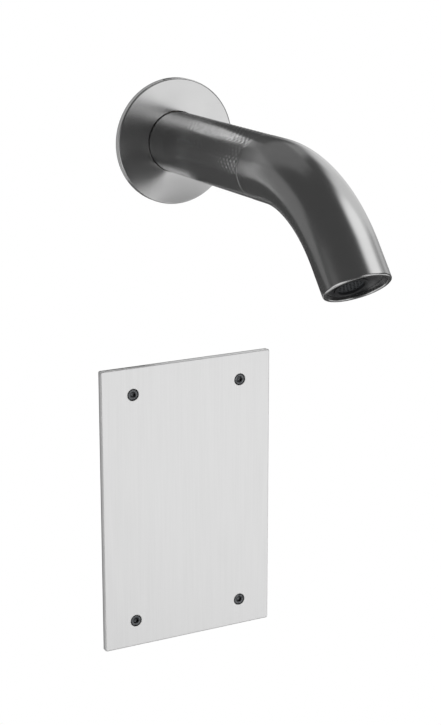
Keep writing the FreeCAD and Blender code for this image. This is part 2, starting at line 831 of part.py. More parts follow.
def aerator():
    start = "insert_recess - aerator_proud"
    inner = "aerator_radius - aerator_wall"
    housing = ring("aerator_radius", inner, "aerator_length", "Z", 0, "aerator_shift", start)
    keep("aerator_housing", at_outlet(housing))
    seal = ring(
        "aerator_radius", "aerator_seal_bore", "aerator_seal_thickness", "Z", 0, "aerator_shift",
        "%s + aerator_length" % start,
    )
    keep("aerator_seal", at_outlet(seal))
    level = "%s + screen_depth" % start
    disc = rod("%s - ring_gap" % inner, "screen_thickness", "Z", 0, "aerator_shift", level)
    holes = []
    reach = value("aerator_radius - aerator_wall - ring_gap - 2 * screen_hole")
    steps = int(reach / size("screen_pitch")) + 1
    for row in range(-steps, steps + 1):
        for column in range(-steps, steps + 1):
            across = column + row % 2 / 2
            along = row * 3 ** 0.5 / 2
            if (across ** 2 + along ** 2) ** 0.5 * size("screen_pitch") < reach:
                holes.append(rod(
                    "screen_hole", "screen_thickness", "Z",
                    "%f * screen_pitch" % across, "aerator_shift + %f * screen_pitch" % along, level,
                ))
    keep("aerator_screen", at_outlet(cut(disc, *holes)))


def sensor():
    low = "sensor_place - sensor_height / 2"
    lens = block(
        "-sensor_width / 2", low, "insert_recess", "sensor_width", "sensor_height", "lens_thickness"
    )
    keep("sensor_lens", at_outlet(join(group(lens))))
    module = block(
        "-sensor_width / 2", low, "insert_recess + lens_thickness",
        "sensor_width", "sensor_height", "insert_length - lens_thickness",
    )
    keep("sensor_module", at_outlet(join(group(module))))


# Cover plate, its screws and the in-wall box

def corner_places(width, height):
    """The four corners of a rectangle about the middle of the box."""
    for x_sign in ("-", "+"):
        for z_sign in ("-", "+"):
            yield "box_x %s (%s) / 2" % (x_sign, width), "box_z %s (%s) / 2" % (z_sign, height)


SCREWS_X = "(plate_width - 2 * screw_inset_x)"
SCREWS_Z = "(plate_height - 2 * screw_inset_z)"


def cover_plate():
    body = new_body("cover_plate")
    sketch = sketch_on(body, "XZ_Plane")
    rectangle(
        sketch, "box_x - plate_width / 2", "box_x + plate_width / 2",
        "box_z - plate_height / 2", "box_z + plate_height / 2",
    )
    slab = pad(body, sketch, "plate_thickness")
    doc.recompute()
    front = min(range(len(slab.Shape.Faces)), key=lambda i: slab.Shape.Faces[i].CenterOfMass.y)
    bevel = body.newObject("PartDesign::Chamfer", "bevel")
    bevel.Base = (slab, ["Face%d" % (front + 1)])
    bind(bevel, Size="plate_bevel")
    through = sketch_on(body, "XZ_Plane")
    sinks = sketch_on(body, "XZ_Plane")
    sinks.setExpression("AttachmentOffset.Base.z", cell("plate_thickness"))
    for x, z in corner_places(SCREWS_X, SCREWS_Z):
        circle(through, "screw_shaft + screw_play", x, z)
        circle(sinks, "screw_head + screw_head_gap", x, z)
    pocket(body, through, "plate_thickness", True)
    pocket(body, sinks, "screw_head_height + screw_head_sink")


def cover_screws():
    face = "screw_head_sink - plate_thickness"
    under = "%s + screw_head_height" % face
    screws = []
    for x, z in corner_places(SCREWS_X, SCREWS_Z):
        head = rod("screw_head", "screw_head_height", "Y", x, face, z)
        shaft = rod("screw_shaft", "screw_length", "Y", x, under, z)
        socket = hexagon("screw_socket", "screw_socket_depth", "Y", x, face, z)
        screws.append(cut(join(head, shaft), socket))
    keep("cover_screws", group(*screws))


def cover_gasket():
    around = "screw_shaft + screw_play + gasket_edge"
    far = "max(box_height / 2; %s / 2 + %s)" % (SCREWS_Z, around)
    near = "min(box_height / 2 - gasket_width; %s / 2 - (%s))" % (SCREWS_Z, around)
    outer = block(
        "box_x - box_width / 2", 0, "box_z - " + far, "box_width", "gasket_thickness", "2 * " + far
    )
    inner = block(
        "box_x - box_width / 2 + gasket_width", 0, "box_z - " + near,
        "box_width - 2 * gasket_width", "gasket_thickness", "2 * " + near,
    )
    holes = [
        rod("screw_shaft + screw_play", "gasket_thickness", "Y", x, 0, z)
        for x, z in corner_places(SCREWS_X, SCREWS_Z)
    ]
    keep("cover_gasket", cut(outer, inner, *holes))


def box_housing():
    body = new_body("box_housing")
    shell = sketch_on(body, "XZ_Plane")
    shell.setExpression("AttachmentOffset.Base.z", cell("-gasket_thickness"))
    half_width = "box_width / 2"
    half_height = "box_height / 2"
    rectangle(
        shell, "box_x - " + half_width, "box_x + " + half_width,
        "box_z - " + half_height, "box_z + " + half_height,
    )
    pad(body, shell, "box_depth - gasket_thickness", True)
    for place, beside, above, depth in (
        ("gasket_thickness", "rim_width", "rim_width", "rim_depth"),
        ("first_rib", "rib_height", "0", "rib_depth"),
        ("(first_rib + rib_step)", "rib_height", "0", "rib_depth"),
    ):
        band = sketch_on(body, "XZ_Plane")
        band.setExpression("AttachmentOffset.Base.z", cell("-" + place))
        rectangle(
            band, "box_x - %s - %s" % (half_width, beside), "box_x + %s + %s" % (half_width, beside),
            "box_z - %s - %s" % (half_height, above), "box_z + %s + %s" % (half_height, above),
        )
        pad(body, band, depth, True)
    inside = sketch_on(body, "XZ_Plane")
    inside.setExpression("AttachmentOffset.Base.z", cell("-gasket_thickness"))
    rectangle(
        inside, "box_x - %s + box_wall" % half_width, "box_x + %s - box_wall" % half_width,
        "box_z - %s + box_wall" % half_height, "box_z + %s - box_wall" % half_height,
    )
    pocket(body, inside, "box_depth - gasket_thickness - box_wall", False)
    around = "screw_shaft + tapping_gap + corner_wall"
    near_x = "(%s / 2 - (%s))" % (SCREWS_X, around)
    near_z = "(%s / 2 - (%s))" % (SCREWS_Z, around)
    far_x = "max(%s; %s / 2 + %s)" % (half_width, SCREWS_X, around)
    far_z = "max(%s; %s / 2 + %s)" % (half_height, SCREWS_Z, around)
    for x_sign in "-+":
        for z_sign in "-+":
            corner = sketch_on(body, "XZ_Plane")
            corner.setExpression("AttachmentOffset.Base.z", cell("-gasket_thickness - corner_recess"))
            rectangle(
                corner, "box_x %s %s" % (x_sign, near_x), "box_x %s %s" % (x_sign, far_x),
                "box_z %s %s" % (z_sign, near_z), "box_z %s %s" % (z_sign, far_z),
            )
            pad(body, corner, "corner_depth", True)
    taps = sketch_on(body, "XZ_Plane")
    taps.setExpression("AttachmentOffset.Base.z", cell("-gasket_thickness - corner_recess"))
    for x, z in corner_places(SCREWS_X, SCREWS_Z):
        circle(taps, "screw_shaft + tapping_gap", x, z)
    pocket(body, taps, "corner_depth", False)
    posts = sketch_on(body, "XZ_Plane")
    posts.setExpression("AttachmentOffset.Base.z", cell("-block_front - block_depth"))
    for x in ("box_x - post_spread / 2", "box_x + post_spread / 2"):
        circle(posts, "post_radius", x, POST_Z)
    pad(body, posts, "box_depth - block_front - block_depth", True)
    threads = sketch_on(body, "XZ_Plane")
    threads.setExpression("AttachmentOffset.Base.z", cell("-block_front - block_depth"))
    for x in ("box_x - post_spread / 2", "box_x + post_spread / 2"):
        circle(threads, "block_screw_radius + tapping_gap", x, POST_Z)
    pocket(body, threads, "block_screw_grip + cut_margin", False)
    fixings = sketch_on(body, "XZ_Plane")
    fixings.setExpression("AttachmentOffset.Base.z", cell("-box_depth"))
    for x, z in corner_places("box_fixing_x", "box_fixing_z"):
        circle(fixings, "fixing_radius", x, z)
    pocket(body, fixings, "box_wall", True)
    top = sketch_on(body, "XY_Plane")
    top.setExpression("AttachmentOffset.Base.z", cell(BOX_TOP))
    circle(top, "%s + grommet_wall" % CONDUIT_RADIUS, "0", RISER_Y)
    pocket(body, top, "box_wall", False)
    low = sketch_on(body, "XY_Plane")
    low.setExpression("AttachmentOffset.Base.z", cell(BOX_LOW))
    for side, x in SIDES:
        circle(low, "inlet_neck_radius + grommet_wall", x, WATER_Y)
    pocket(body, low, "box_wall", True)


def grommet(radius, x, y, z):
    """A soft ring in a wall of the box, with a lip inside and outside it."""
    neck = rod("%s + grommet_wall - ring_gap" % radius, "box_wall", "Z", x, y, z)
    lips = [
        rod("%s + grommet_wall + grommet_lip" % radius, "grommet_lip", "Z", x, y, level)
        for level in ("%s - grommet_lip" % z, "%s + box_wall" % z)
    ]
    hole = rod(
        "%s + ring_gap" % radius, "box_wall + 2 * grommet_lip", "Z", x, y, "%s - grommet_lip" % z
    )
    return cut(join(neck, *lips), hole)


def grommets():
    keep("conduit_grommet", grommet(CONDUIT_RADIUS, 0, RISER_Y, "%s - box_wall" % BOX_TOP))
    rings = [grommet("inlet_neck_radius", x, WATER_Y, BOX_LOW) for side, x in SIDES]
    keep("inlet_grommets", group(*rings))


# Manifold with its inlets, stops and check valves

def valve_block():
    body = block(
        "box_x - block_width / 2", "block_front", BLOCK_LOW,
        "block_width", "block_depth", "block_high - block_low",
    )
    holes = []
    for side, x in SIDES:
        holes += [
            rod("port_radius", "port_depth", "Z", x, WATER_Y, BLOCK_LOW),
            rod(
                "passage_radius", "block_high - block_low - chamber_depth / 2", "Z", x, WATER_Y,
                BLOCK_LOW,
            ),
            rod("stop_radius + turning_gap", "stop_depth", "Y", x, "block_front", STOP_Z),
            rod("chamber_radius", "chamber_depth", "Z", x, WATER_Y, CHAMBER_LOW),
        ]
    lock_ring = "lock_ring_radius + fit_gap"
    holes += [
        rod("passage_radius", "supply_spacing", "X", HOT_X, WATER_Y, SIDE_Z),
        rod("mixer_radius", "mixer_depth", "Y", "box_x", "block_front", MIXER_Z),
        rod(lock_ring, "lock_ring_thickness", "Y", "box_x", "block_front", MIXER_Z),
        rod("valve_seat_bore", "block_high - mixer_level", "Z", "box_x", "valve_y", MIXER_Z),
    ]
    for sign in "-+":
        holes.append(rod(
            "block_screw_radius + fit_gap", "block_depth", "Y",
            "box_x %s post_spread / 2" % sign, "block_front", POST_Z,
        ))
    keep("valve_block", cut(body, *holes))


def block_screws():
    screws = []
    for sign in "-+":
        x = "box_x %s post_spread / 2" % sign
        z = POST_Z
        front = "block_front - block_screw_head_height"
        head = rod("block_screw_head", "block_screw_head_height", "Y", x, front, z)
        shaft = rod("block_screw_radius", "block_depth + block_screw_grip", "Y", x, "block_front", z)
        socket = hexagon("block_screw_head", "block_screw_head_height / 2", "Y", x, front, z)
        screws.append(cut(join(head, shaft), socket))
    keep("block_screws", group(*screws))


def inlets():
    low = BLOCK_LOW
    neck = "%s - inlet_hex - inlet_neck" % BLOCK_LOW
    foot = "%s - inlet_thread" % neck
    nipples = []
    filters = []
    for side, x in SIDES:
        spigot = rod("port_radius - fit_gap", "port_depth - seat_gap", "Z", x, WATER_Y, low)
        collar = hexagon("inlet_across", "inlet_hex", "Z", x, WATER_Y, "%s - inlet_hex" % low)
        shaft = rod("inlet_neck_radius", "inlet_neck", "Z", x, WATER_Y, neck)
        thread = rod("inlet_thread_radius", "inlet_thread", "Z", x, WATER_Y, foot)
        bore = rod(
            "inlet_bore", "port_depth - seat_gap + inlet_hex + inlet_neck + inlet_thread", "Z",
            x, WATER_Y, foot,
        )
        nipples.append(cut(join(spigot, collar, shaft, thread), bore))
        outer = "(inlet_bore - fit_gap)"
        start = "%s + filter_foot" % foot
        tube = rod(outer, "filter_length", "Z", x, WATER_Y, start)
        hollow = rod(
            "%s - filter_wall" % outer, "filter_length - filter_wall", "Z", x, WATER_Y, start
        )
        slots = [
            block(
                "%s - inlet_bore" % x, "%s - filter_wall" % WATER_Y,
                "%s + %d * filter_slot_step" % (start, step), "2 * inlet_bore", "2 * filter_wall",
                "filter_slot",
            )
            for step in (1, 2, 3, 4)
        ]
        filters.append(cut(tube, hollow, *slots))
    keep("inlet_nipples", group(*nipples))
    keep("inlet_filters", group(*filters))


def service_stops():
    glands = []
    z = STOP_Z
    for side, x in SIDES:
        plug = rod(
            "stop_radius", "stop_depth - stop_setback - seat_gap", "Y", x,
            "block_front + stop_setback", z,
        )
        head = rod(
            "stop_head_radius", "stop_head_length + stop_setback", "Y", x,
            "block_front - stop_head_length", z,
        )
        slot = block(
            "%s - stop_head_radius" % x, "block_front - stop_head_length", "%s - stop_slot / 2" % z,
            "2 * stop_head_radius", "stop_slot_depth", "stop_slot",
        )
        way = rod(
            "passage_radius", "2 * stop_radius + 2 * cut_margin", "Z", x, WATER_Y,
            "%s - stop_radius - cut_margin" % z,
        )
        keep(side + "_stop", cut(join(plug, head), slot, way))
        start = "block_front - gland_length"
        nut = hexagon("gland_across", "gland_length", "Y", x, start, z)
        hole = rod("stop_head_radius + turning_gap", "gland_length", "Y", x, start, z)
        glands.append(cut(nut, hole))
    keep("stop_glands", group(*glands))


def coil_spring(node, radius, wire, turns, low, high, x, y):
    """A wound spring between two levels, with its wire inside them."""
    start = "%s + %s + ring_gap" % (low, wire)
    length = value("%s - %s - ring_gap - (%s)" % (high, wire, start))
    helix = Part.makeHelix(length / size(turns), length, size(radius))
    section = Part.Wire([Part.makeCircle(size(wire), Vector(size(radius), 0, 0), Vector(0, 1, 0))])
    item = doc.addObject("Part::Feature", "spring")
    item.Shape = Part.Wire(helix.Edges).makePipeShell([section], True, True)
    keep(node, move(item, x, y, start))


def check_valves():
    seats = []
    caps = []
    guide_depth = "%s - %s + poppet_lift + seat_gap" % (STEM_TOP, CAP_LOW)
    for side, x in SIDES:
        seats.append(ring(
            "chamber_radius - fit_gap", "seat_bore", "seat_thickness", "Z", x, WATER_Y, CHAMBER_LOW
        ))
        disc = rod("poppet_radius", "poppet_thickness", "Z", x, WATER_Y, POPPET_LOW)
        stem = rod("stem_radius", "poppet_thickness + stem_length", "Z", x, WATER_Y, POPPET_LOW)
        keep(side + "_poppet", join(disc, stem))
        plug = rod("chamber_radius - fit_gap", "cap_plug", "Z", x, WATER_Y, CAP_LOW)
        head = hexagon("cap_across", "cap_head", "Z", x, WATER_Y, BLOCK_TOP)
        guide = rod("stem_radius + turning_gap", guide_depth, "Z", x, WATER_Y, CAP_LOW)
        caps.append(cut(join(plug, head), guide))
        coil_spring(
            side + "_check_spring", "check_coil_radius", "check_wire", "check_turns",
            "%s + poppet_thickness" % POPPET_LOW, CAP_LOW, x, WATER_Y,
        )
    keep("check_seats", group(*seats))
    keep("service_caps", group(*caps))


def mixer():
    start = "block_front + lock_ring_thickness"
    length = "mixer_depth - lock_ring_thickness - cartridge_gap"
    body = rod("mixer_radius - fit_gap", length, "Y", "box_x", start, MIXER_Z)
    spindle_hole = rod("spindle_radius + turning_gap", "spindle_depth", "Y", "box_x", start, MIXER_Z)
    inlet = rod(
        "mixer_inlet", "2 * mixer_radius", "X", "box_x - mixer_radius", WATER_Y, SIDE_Z
    )
    outlet = rod("valve_seat_bore", "mixer_radius", "Z", "box_x", "valve_y", MIXER_Z)
    keep("mixing_cartridge", cut(body, spindle_hole, inlet, outlet))
    keep("cartridge_nut", ring(
        "lock_ring_radius", "spindle_radius + turning_gap", "lock_ring_thickness", "Y",
        "box_x", "block_front", MIXER_Z,
    ))
    bar = rod(
        "spindle_radius", "spindle_reach + lock_ring_thickness + spindle_depth - seat_gap", "Y",
        "box_x", KNOB_FRONT, MIXER_Z,
    )
    flat = block(
        "box_x - spindle_radius", KNOB_FRONT, "%s + spindle_radius - spindle_flat" % MIXER_Z,
        "2 * spindle_radius", "knob_length", "spindle_flat",
    )
    thread = rod(
        "knob_screw_radius + ring_gap", "knob_screw_length + cut_margin", "Y", "box_x", KNOB_FRONT,
        MIXER_Z,
    )
    keep("mixing_spindle", cut(bar, flat, thread))


def temperature_knob():
    """A fluted knob, drawn about its own middle."""
    body = new_body("temperature_knob")
    sketches = []
    for radius, along in (
        ("knob_radius", "0"),
        ("spindle_radius + ring_gap", "0"),
        ("flute_radius", "knob_radius + flute_radius / 2"),
    ):
        sketch = sketch_on(body, "XZ_Plane")
        for letter, place in zip("xyz", ("box_x", MIXER_Z, "-%s" % KNOB_FRONT)):
            sketch.setExpression("AttachmentOffset.Base." + letter, cell(place))
        circle(sketch, radius, "0", along)
        sketches.append(sketch)
    disc, hole, flute = sketches
    pad(body, disc, "knob_length", True)
    pocket(body, hole, "knob_length", False)
    notch = pocket(body, flute, "knob_length", False)
    pattern = body.newObject("PartDesign::PolarPattern", "flutes")
    pattern.Originals = [notch]
    pattern.Axis = (flute, ["N_Axis"])
    pattern.Angle = 360
    bind(pattern, Occurrences="knob_flutes")
    body.Tip = pattern


def knob_screw():
    start = "%s - knob_screw_head_height" % KNOB_FRONT
    head = rod("knob_screw_head", "knob_screw_head_height", "Y", "box_x", start, MIXER_Z)
    shaft = rod("knob_screw_radius", "knob_screw_length", "Y", "box_x", KNOB_FRONT, MIXER_Z)
    socket = hexagon("knob_screw_socket", "knob_screw_head_height", "Y", "box_x", start, MIXER_Z)
    keep("knob_screw", cut(join(head, shaft), socket))


# Solenoid valve and hose connector

def valve_chamber():
    level = "%s + arm_rise" % BLOCK_TOP
    cup = rod("valve_radius", "valve_height", "Z", "box_x", "valve_y", BLOCK_TOP)
    root = "valve_y + valve_chamber_radius + arm_root"
    arm = rod("arm_radius", "%s - (%s)" % (HOSE_Y, root), "Y", 0, root, level)
    tower = rod(
        "tower_radius", "tower_radius + tower_height", "Z", 0, HOSE_Y, "%s - tower_radius" % level
    )
    hollow = rod(
        "valve_chamber_radius", "valve_height - valve_floor", "Z", "box_x", "valve_y",
        "%s + valve_floor" % BLOCK_TOP,
    )
    rise = "valve_floor + valve_seat_height"
    nozzle = rod("valve_seat_radius", rise, "Z", "box_x", "valve_y", BLOCK_TOP)
    bore = rod("valve_seat_bore", rise, "Z", "box_x", "valve_y", BLOCK_TOP)
    inside = "valve_y + valve_seat_radius"
    way = rod("spigot_bore", "%s - (%s)" % (HOSE_Y, inside), "Y", 0, inside, level)
    up = rod("spigot_bore", "tower_height", "Z", 0, HOSE_Y, level)
    shell = cut(cup, hollow)
    screws = [
        rod(
            "bonnet_screw_radius + ring_gap", "bonnet_screw_hole", "Z", x, y,
            "%s - bonnet_screw_hole" % VALVE_TOP,
        )
        for x, y in bonnet_places()
    ]
    keep("valve_chamber", cut(join(shell, nozzle, arm, tower), bore, way, up, *screws))


def bonnet_places():
    """Four screws on a circle round the valve."""
    for x_sign in "-+":
        for y_sign in "-+":
            offset = "bonnet_screw_circle * cos(45)"
            yield "box_x %s %s" % (x_sign, offset), "valve_y %s %s" % (y_sign, offset)


def armature():
    inner = "plunger_radius + turning_gap"
    outer = "%s + armature_wall" % inner
    plate = rod("valve_radius", "bonnet_thickness", "Z", "box_x", "valve_y", VALVE_TOP)
    height = "%s + pole_length - %s" % (POLE_LOW, BONNET_TOP)
    tube = rod(outer, height, "Z", "box_x", "valve_y", BONNET_TOP)
    hollow = rod(inner, "%s - %s" % (POLE_LOW, VALVE_TOP), "Z", "box_x", "valve_y", VALVE_TOP)
    holes = [
        rod("bonnet_screw_radius + ring_gap", "bonnet_thickness", "Z", x, y, VALVE_TOP)
        for x, y in bonnet_places()
    ]
    sinks = [
        rod("bonnet_screw_head + ring_gap", "bonnet_screw_head_height", "Z", x, y,
            "%s - bonnet_screw_head_height" % BONNET_TOP)
        for x, y in bonnet_places()
    ]
    keep("armature_tube", cut(join(plate, tube), hollow, *holes, *sinks))
    screws = []
    under = "(%s - bonnet_screw_head_height)" % BONNET_TOP
    shaft_low = "(%s - bonnet_screw_grip)" % VALVE_TOP
    for x, y in bonnet_places():
        head = rod("bonnet_screw_head", "bonnet_screw_head_height", "Z", x, y, under)
        shaft = rod("bonnet_screw_radius", "%s - %s" % (under, shaft_low), "Z", x, y, shaft_low)
        socket = hexagon(
            "bonnet_screw_radius", "bonnet_screw_head_height / 2", "Z", x, y,
            "%s + bonnet_screw_head_height / 2" % under,
        )
        screws.append(cut(join(head, shaft), socket))
    keep("bonnet_screws", group(*screws))


def plunger():
    bar = rod("plunger_radius", "plunger_length", "Z", "box_x", "valve_y", PLUNGER_LOW)
    seat = "(%s - spring_pocket_depth)" % PLUNGER_TOP
    well = rod("spring_pocket_radius", "spring_pocket_depth", "Z", "box_x", "valve_y", seat)
    keep("plunger", cut(bar, well))
    keep("plunger_seal", rod(
        "plunger_seal_radius", "plunger_seal_thickness", "Z", "box_x", "valve_y", SEAT_LEVEL
    ))
    coil_spring(
        "plunger_spring", "plunger_coil_radius", "plunger_wire", "plunger_turns",
        seat, POLE_LOW, "box_x", "valve_y",
    )


def solenoid_coil():
    inner = "plunger_radius + turning_gap + armature_wall + fit_gap"
    level = "%s + seat_gap" % BONNET_TOP
    winding = rod("coil_radius", "coil_height", "Z", "box_x", "valve_y", level)
    terminal = block(
        "box_x - terminal_offset - terminal_width / 2", "valve_y + coil_radius / 2",
        "%s + terminal_height / 2" % level, "terminal_width", "terminal_depth", "terminal_height",
    )
    hole = rod(inner, "coil_height", "Z", "box_x", "valve_y", level)
    keep("solenoid_coil", cut(join(winding, terminal), hole))
    top = "%s + coil_height" % level
    nut = hexagon("coil_nut_across", "coil_nut_height", "Z", "box_x", "valve_y", top)
    keep("coil_nut", cut(nut, rod(inner, "coil_nut_height", "Z", "box_x", "valve_y", top)))


def hose_connector():
    collar = hexagon("connector_across", "connector_hex", "Z", 0, HOSE_Y, TOWER_TOP)
    barb = rod("hose_bore - fit_gap", "connector_hex + barb_length", "Z", 0, HOSE_Y, TOWER_TOP)
    bore = rod("spigot_bore", "connector_hex + barb_length", "Z", 0, HOSE_Y, TOWER_TOP)
    keep("hose_connector", cut(join(collar, barb), bore))


# Electronics and battery

def electronics():
    left = "box_x + case_left"
    low = "box_z + case_low"
    width = "(case_right - case_left)"
    height = "(case_high - case_low)"
    depth = "(%s - case_front)" % BOX_FLOOR
    shell = block(left, "case_front", low, width, depth, height)
    hollow = block(
        "%s + case_wall" % left, "case_front", "%s + case_wall" % low,
        "%s - 2 * case_wall" % width, "%s - case_wall" % depth, "%s - 2 * case_wall" % height,
    )
    keep("control_case", cut(shell, hollow))
    keep("control_lid", block(left, "case_front - lid_thickness", low, width, "lid_thickness", height))
    inset = "case_wall + board_margin"
    face = "case_front + board_setback"
    board_left = "(%s + %s)" % (left, inset)
    board_low = "(%s + %s)" % (low, inset)
    board = block(
        board_left, face, board_low,
        "%s - 2 * (%s)" % (width, inset), "board_thickness", "%s - 2 * (%s)" % (height, inset),
    )
    chips = []
    for chip in CHIPS:
        x, z, across, high, deep = ["%s_%s" % (chip[0], word) for word in CHIP_SIZES]
        chips.append(block(
            "%s + %s" % (board_left, x), "%s - %s" % (face, deep), "%s + %s" % (board_low, z),
            across, deep, high,
        ))
    back = "%s + board_thickness" % face
    pillars = [
        rod(
            "pillar_radius", "%s - case_wall - (%s)" % (BOX_FLOOR, back), "Y",
            "%s + %s / 2" % (left, width), back, z,
        )
        for z in ("%s + pillar_inset" % low, "%s + %s - pillar_inset" % (low, height))
    ]
    keep("circuit_board", join(board, *chips, *pillars))


def control_leads():
    """Two short leads that enter the front of the control case."""
    lid = "case_front - lid_thickness"
    coil_back = "valve_y + coil_radius / 2 + terminal_depth"
    coil_level = "%s + seat_gap + terminal_height" % BONNET_TOP
    holder_back = "battery_front + battery_length + battery_play + holder_wall"
    leads = [
        rod("lead_stub_radius", "%s - (%s)" % (lid, start), "Y", x, start, z)
        for x, start, z in (
            ("box_x + case_right - stub_inset", coil_back, coil_level),
            ("box_x + battery_lead_x", holder_back, "box_z + battery_lead_level"),
        )
    ]
    keep("control_leads", group(*leads))


def battery():
    top = "(%s - box_wall)" % BOX_TOP
    outer_width = "(battery_width + 2 * battery_play + 2 * holder_wall)"
    outer_height = "(battery_thickness + 2 * battery_play + 2 * holder_wall)"
    depth = "(battery_length + battery_play + holder_wall)"
    shell = block(
        "box_x - %s / 2" % outer_width, "battery_front", "%s - %s" % (top, outer_height),
        outer_width, depth, outer_height,
    )
    hollow = block(
        "box_x - battery_width / 2 - battery_play", "battery_front",
        "%s - %s + holder_wall" % (top, outer_height), "battery_width + 2 * battery_play",
        "battery_length + battery_play", "battery_thickness + 2 * battery_play",
    )
    keep("battery_holder", cut(shell, hollow))
    low = "%s - %s + holder_wall + battery_play" % (top, outer_height)
    radius = "battery_thickness / 2"
    cells = [
        rod(radius, "battery_length", "Y", "box_x %s (battery_width - battery_thickness) / 2" % sign,
            "battery_front", "%s + %s" % (low, radius))
        for sign in "-+"
    ]
    bridge = block(
        "box_x - (battery_width - battery_thickness) / 2", "battery_front", low,
        "battery_width - battery_thickness", "battery_length", "battery_thickness",
    )
    keep("battery", join(*cells, bridge))


def build():
    fill_sheet()
    for make in (
        wall_flange, flange_seal, textured_sleeve, spout_tube, wall_shank, shank_o_rings,
        spout_grub_screw, spout_bracket, lock_washer, lock_nut, conduit, water_hose, hose_ferrule,
        sensor_lead, outlet_insert, aerator, sensor, cover_plate, cover_screws, cover_gasket,
        box_housing, grommets, valve_block, block_screws, inlets, service_stops, check_valves,
        mixer, temperature_knob, knob_screw, valve_chamber, armature, plunger, solenoid_coil,
        hose_connector, electronics, control_leads, battery,
    ):
        make()
    doc.recompute()


def check():
    """Every object up to date, and every piece a valid solid."""
    for item in doc.Objects:
        if "Invalid" in item.State or "Error" in item.State:
            raise ValueError("%s (%s) failed: %s" % (item.Name, item.Label, item.State))
    for node, item in nodes.items():
        shape = item.Shape
        if shape.isNull() or not shape.isValid() or not shape.Solids:
            raise ValueError("%s has no valid solid" % node)


def export():
    os.makedirs("parts", exist_ok=True)
    for node, item in nodes.items():
        item.Shape.exportStep("parts/%s.step" % node)
        print("%-22s %2d solids %10.1f mm3" % (node, len(item.Shape.Solids), item.Shape.Volume))


build()
check()
export()
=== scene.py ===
import json
import math

import bmesh
import bpy
from mathutils import Matrix, Vector


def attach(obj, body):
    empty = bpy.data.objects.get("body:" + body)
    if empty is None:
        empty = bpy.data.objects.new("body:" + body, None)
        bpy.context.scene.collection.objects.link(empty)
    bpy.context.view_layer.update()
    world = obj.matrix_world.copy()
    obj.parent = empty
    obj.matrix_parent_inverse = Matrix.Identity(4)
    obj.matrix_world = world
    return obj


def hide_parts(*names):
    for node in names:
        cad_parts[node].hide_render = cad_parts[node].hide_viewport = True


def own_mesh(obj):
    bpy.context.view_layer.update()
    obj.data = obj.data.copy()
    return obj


# Electronic wall basin mixer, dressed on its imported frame.
# +X runs along the wall, +Y goes into it, +Z is up, and the origin is the middle of the
# flange. Blender's unit is the metre: sizes are written in millimetres times MM, or in
# plain millimetres in the tables that say so.

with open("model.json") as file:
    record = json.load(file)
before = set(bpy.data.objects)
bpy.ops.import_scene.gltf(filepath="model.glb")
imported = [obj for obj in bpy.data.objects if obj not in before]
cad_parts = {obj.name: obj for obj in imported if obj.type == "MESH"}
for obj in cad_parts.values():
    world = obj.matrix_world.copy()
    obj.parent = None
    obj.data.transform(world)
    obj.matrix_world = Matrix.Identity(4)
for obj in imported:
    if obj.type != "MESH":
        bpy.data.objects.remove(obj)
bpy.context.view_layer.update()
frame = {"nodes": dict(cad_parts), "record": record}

MM = 0.001
TURN = 2 * math.pi
WHITE = "#ffffff"

# Sizes shared with the solids
SPOUT_RADIUS = 14.5 * MM
BARREL_RADIUS = 12.5 * MM
BARREL_BORE = 10.9 * MM
MOUTH_BORE = 12.7 * MM
TUBE_START = -1.0 * MM
SLEEVE_END = -91.5 * MM
SLEEVE_LENGTH = TUBE_START - SLEEVE_END
STRAIGHT_END = -102.0 * MM
STRAIGHT_LENGTH = TUBE_START - STRAIGHT_END
BEND_RADIUS = 73.3 * MM
BEND_ANGLE = math.radians(50)
BEND_LENGTH = BEND_RADIUS * BEND_ANGLE
NOSE_LENGTH = 15.2 * MM
MOUTH_TILT = math.radians(6)
SPOUT_LENGTH = STRAIGHT_LENGTH + BEND_LENGTH + NOSE_LENGTH
FLANGE_RADIUS = 30.0 * MM
FLANGE_THICKNESS = 3.6 * MM
FLANGE_HOLE = 14.65 * MM
SEAL_INNER = 24.0 * MM
SEAL_OUTER = 27.0 * MM
SEAL_DEPTH = 1.5 * MM
PLATE_MIDDLE = Vector((5.4 * MM, 0, -182.4 * MM))
PLATE_WIDTH = 93.2 * MM
PLATE_HEIGHT = 146.7 * MM
PLATE_THICKNESS = 3.0 * MM
SCREW_MIDDLES = [
    PLATE_MIDDLE + Vector((x * MM, 0, z * MM)) for x in (-29.6, 29.6) for z in (-59.75, 59.75)
]
BOX_WIDTH = 84.0 * MM
BOX_HEIGHT = 134.0 * MM
INLETS_X = (-16.6 * MM, 27.4 * MM)
WATER_Y = 35.0 * MM


def linked(name, data):
    """A new object of the scene that holds the data."""
    item = bpy.data.objects.new(name, data)
    bpy.context.scene.collection.objects.link(item)
    return item


def aim(thing, target):
    """Turns a lamp or a camera so that it looks at a point."""
    thing.rotation_euler = (target - thing.location).to_track_quat("-Z", "Y").to_euler()


# Camera at the photograph's viewpoint

camera = linked("camera", bpy.data.cameras.new("camera"))
bpy.context.scene.camera = camera
camera.location = (-367 * MM, -751 * MM, 123 * MM)
camera.data.sensor_width = 36
camera.data.lens = 87.1
camera.data.clip_start = 0.01
aim(camera, Vector((6.9, -35.8, -102.1)) * MM)


# Finishes

# The Mix node's sockets for two colours and for the colour that it gives
FIRST_COLOUR, SECOND_COLOUR, MIXED_COLOUR = 6, 7, 2


def linear(code):
    """The linear colour of an sRGB hex code."""
    parts = [int(code[i:i + 2], 16) / 255 for i in (1, 3, 5)]
    return [p / 12.92 if p <= 0.04045 else ((p + 0.055) / 1.055) ** 2.4 for p in parts] + [1.0]


def add(tree, kind, links=None, **settings):
    """Adds a node with its settings and links.

    Settings are its properties or its sockets' values. Links give the output that each
    of its sockets takes in, by the socket's name or number.
    """
    item = tree.nodes.new(kind)
    for name, setting in settings.items():
        if hasattr(item, name):
            setattr(item, name, setting)
        else:
            item.inputs[name.replace("_", " ")].default_value = setting
    for name, source in (links or {}).items():
        tree.links.new(source, item.inputs[name])
    return item


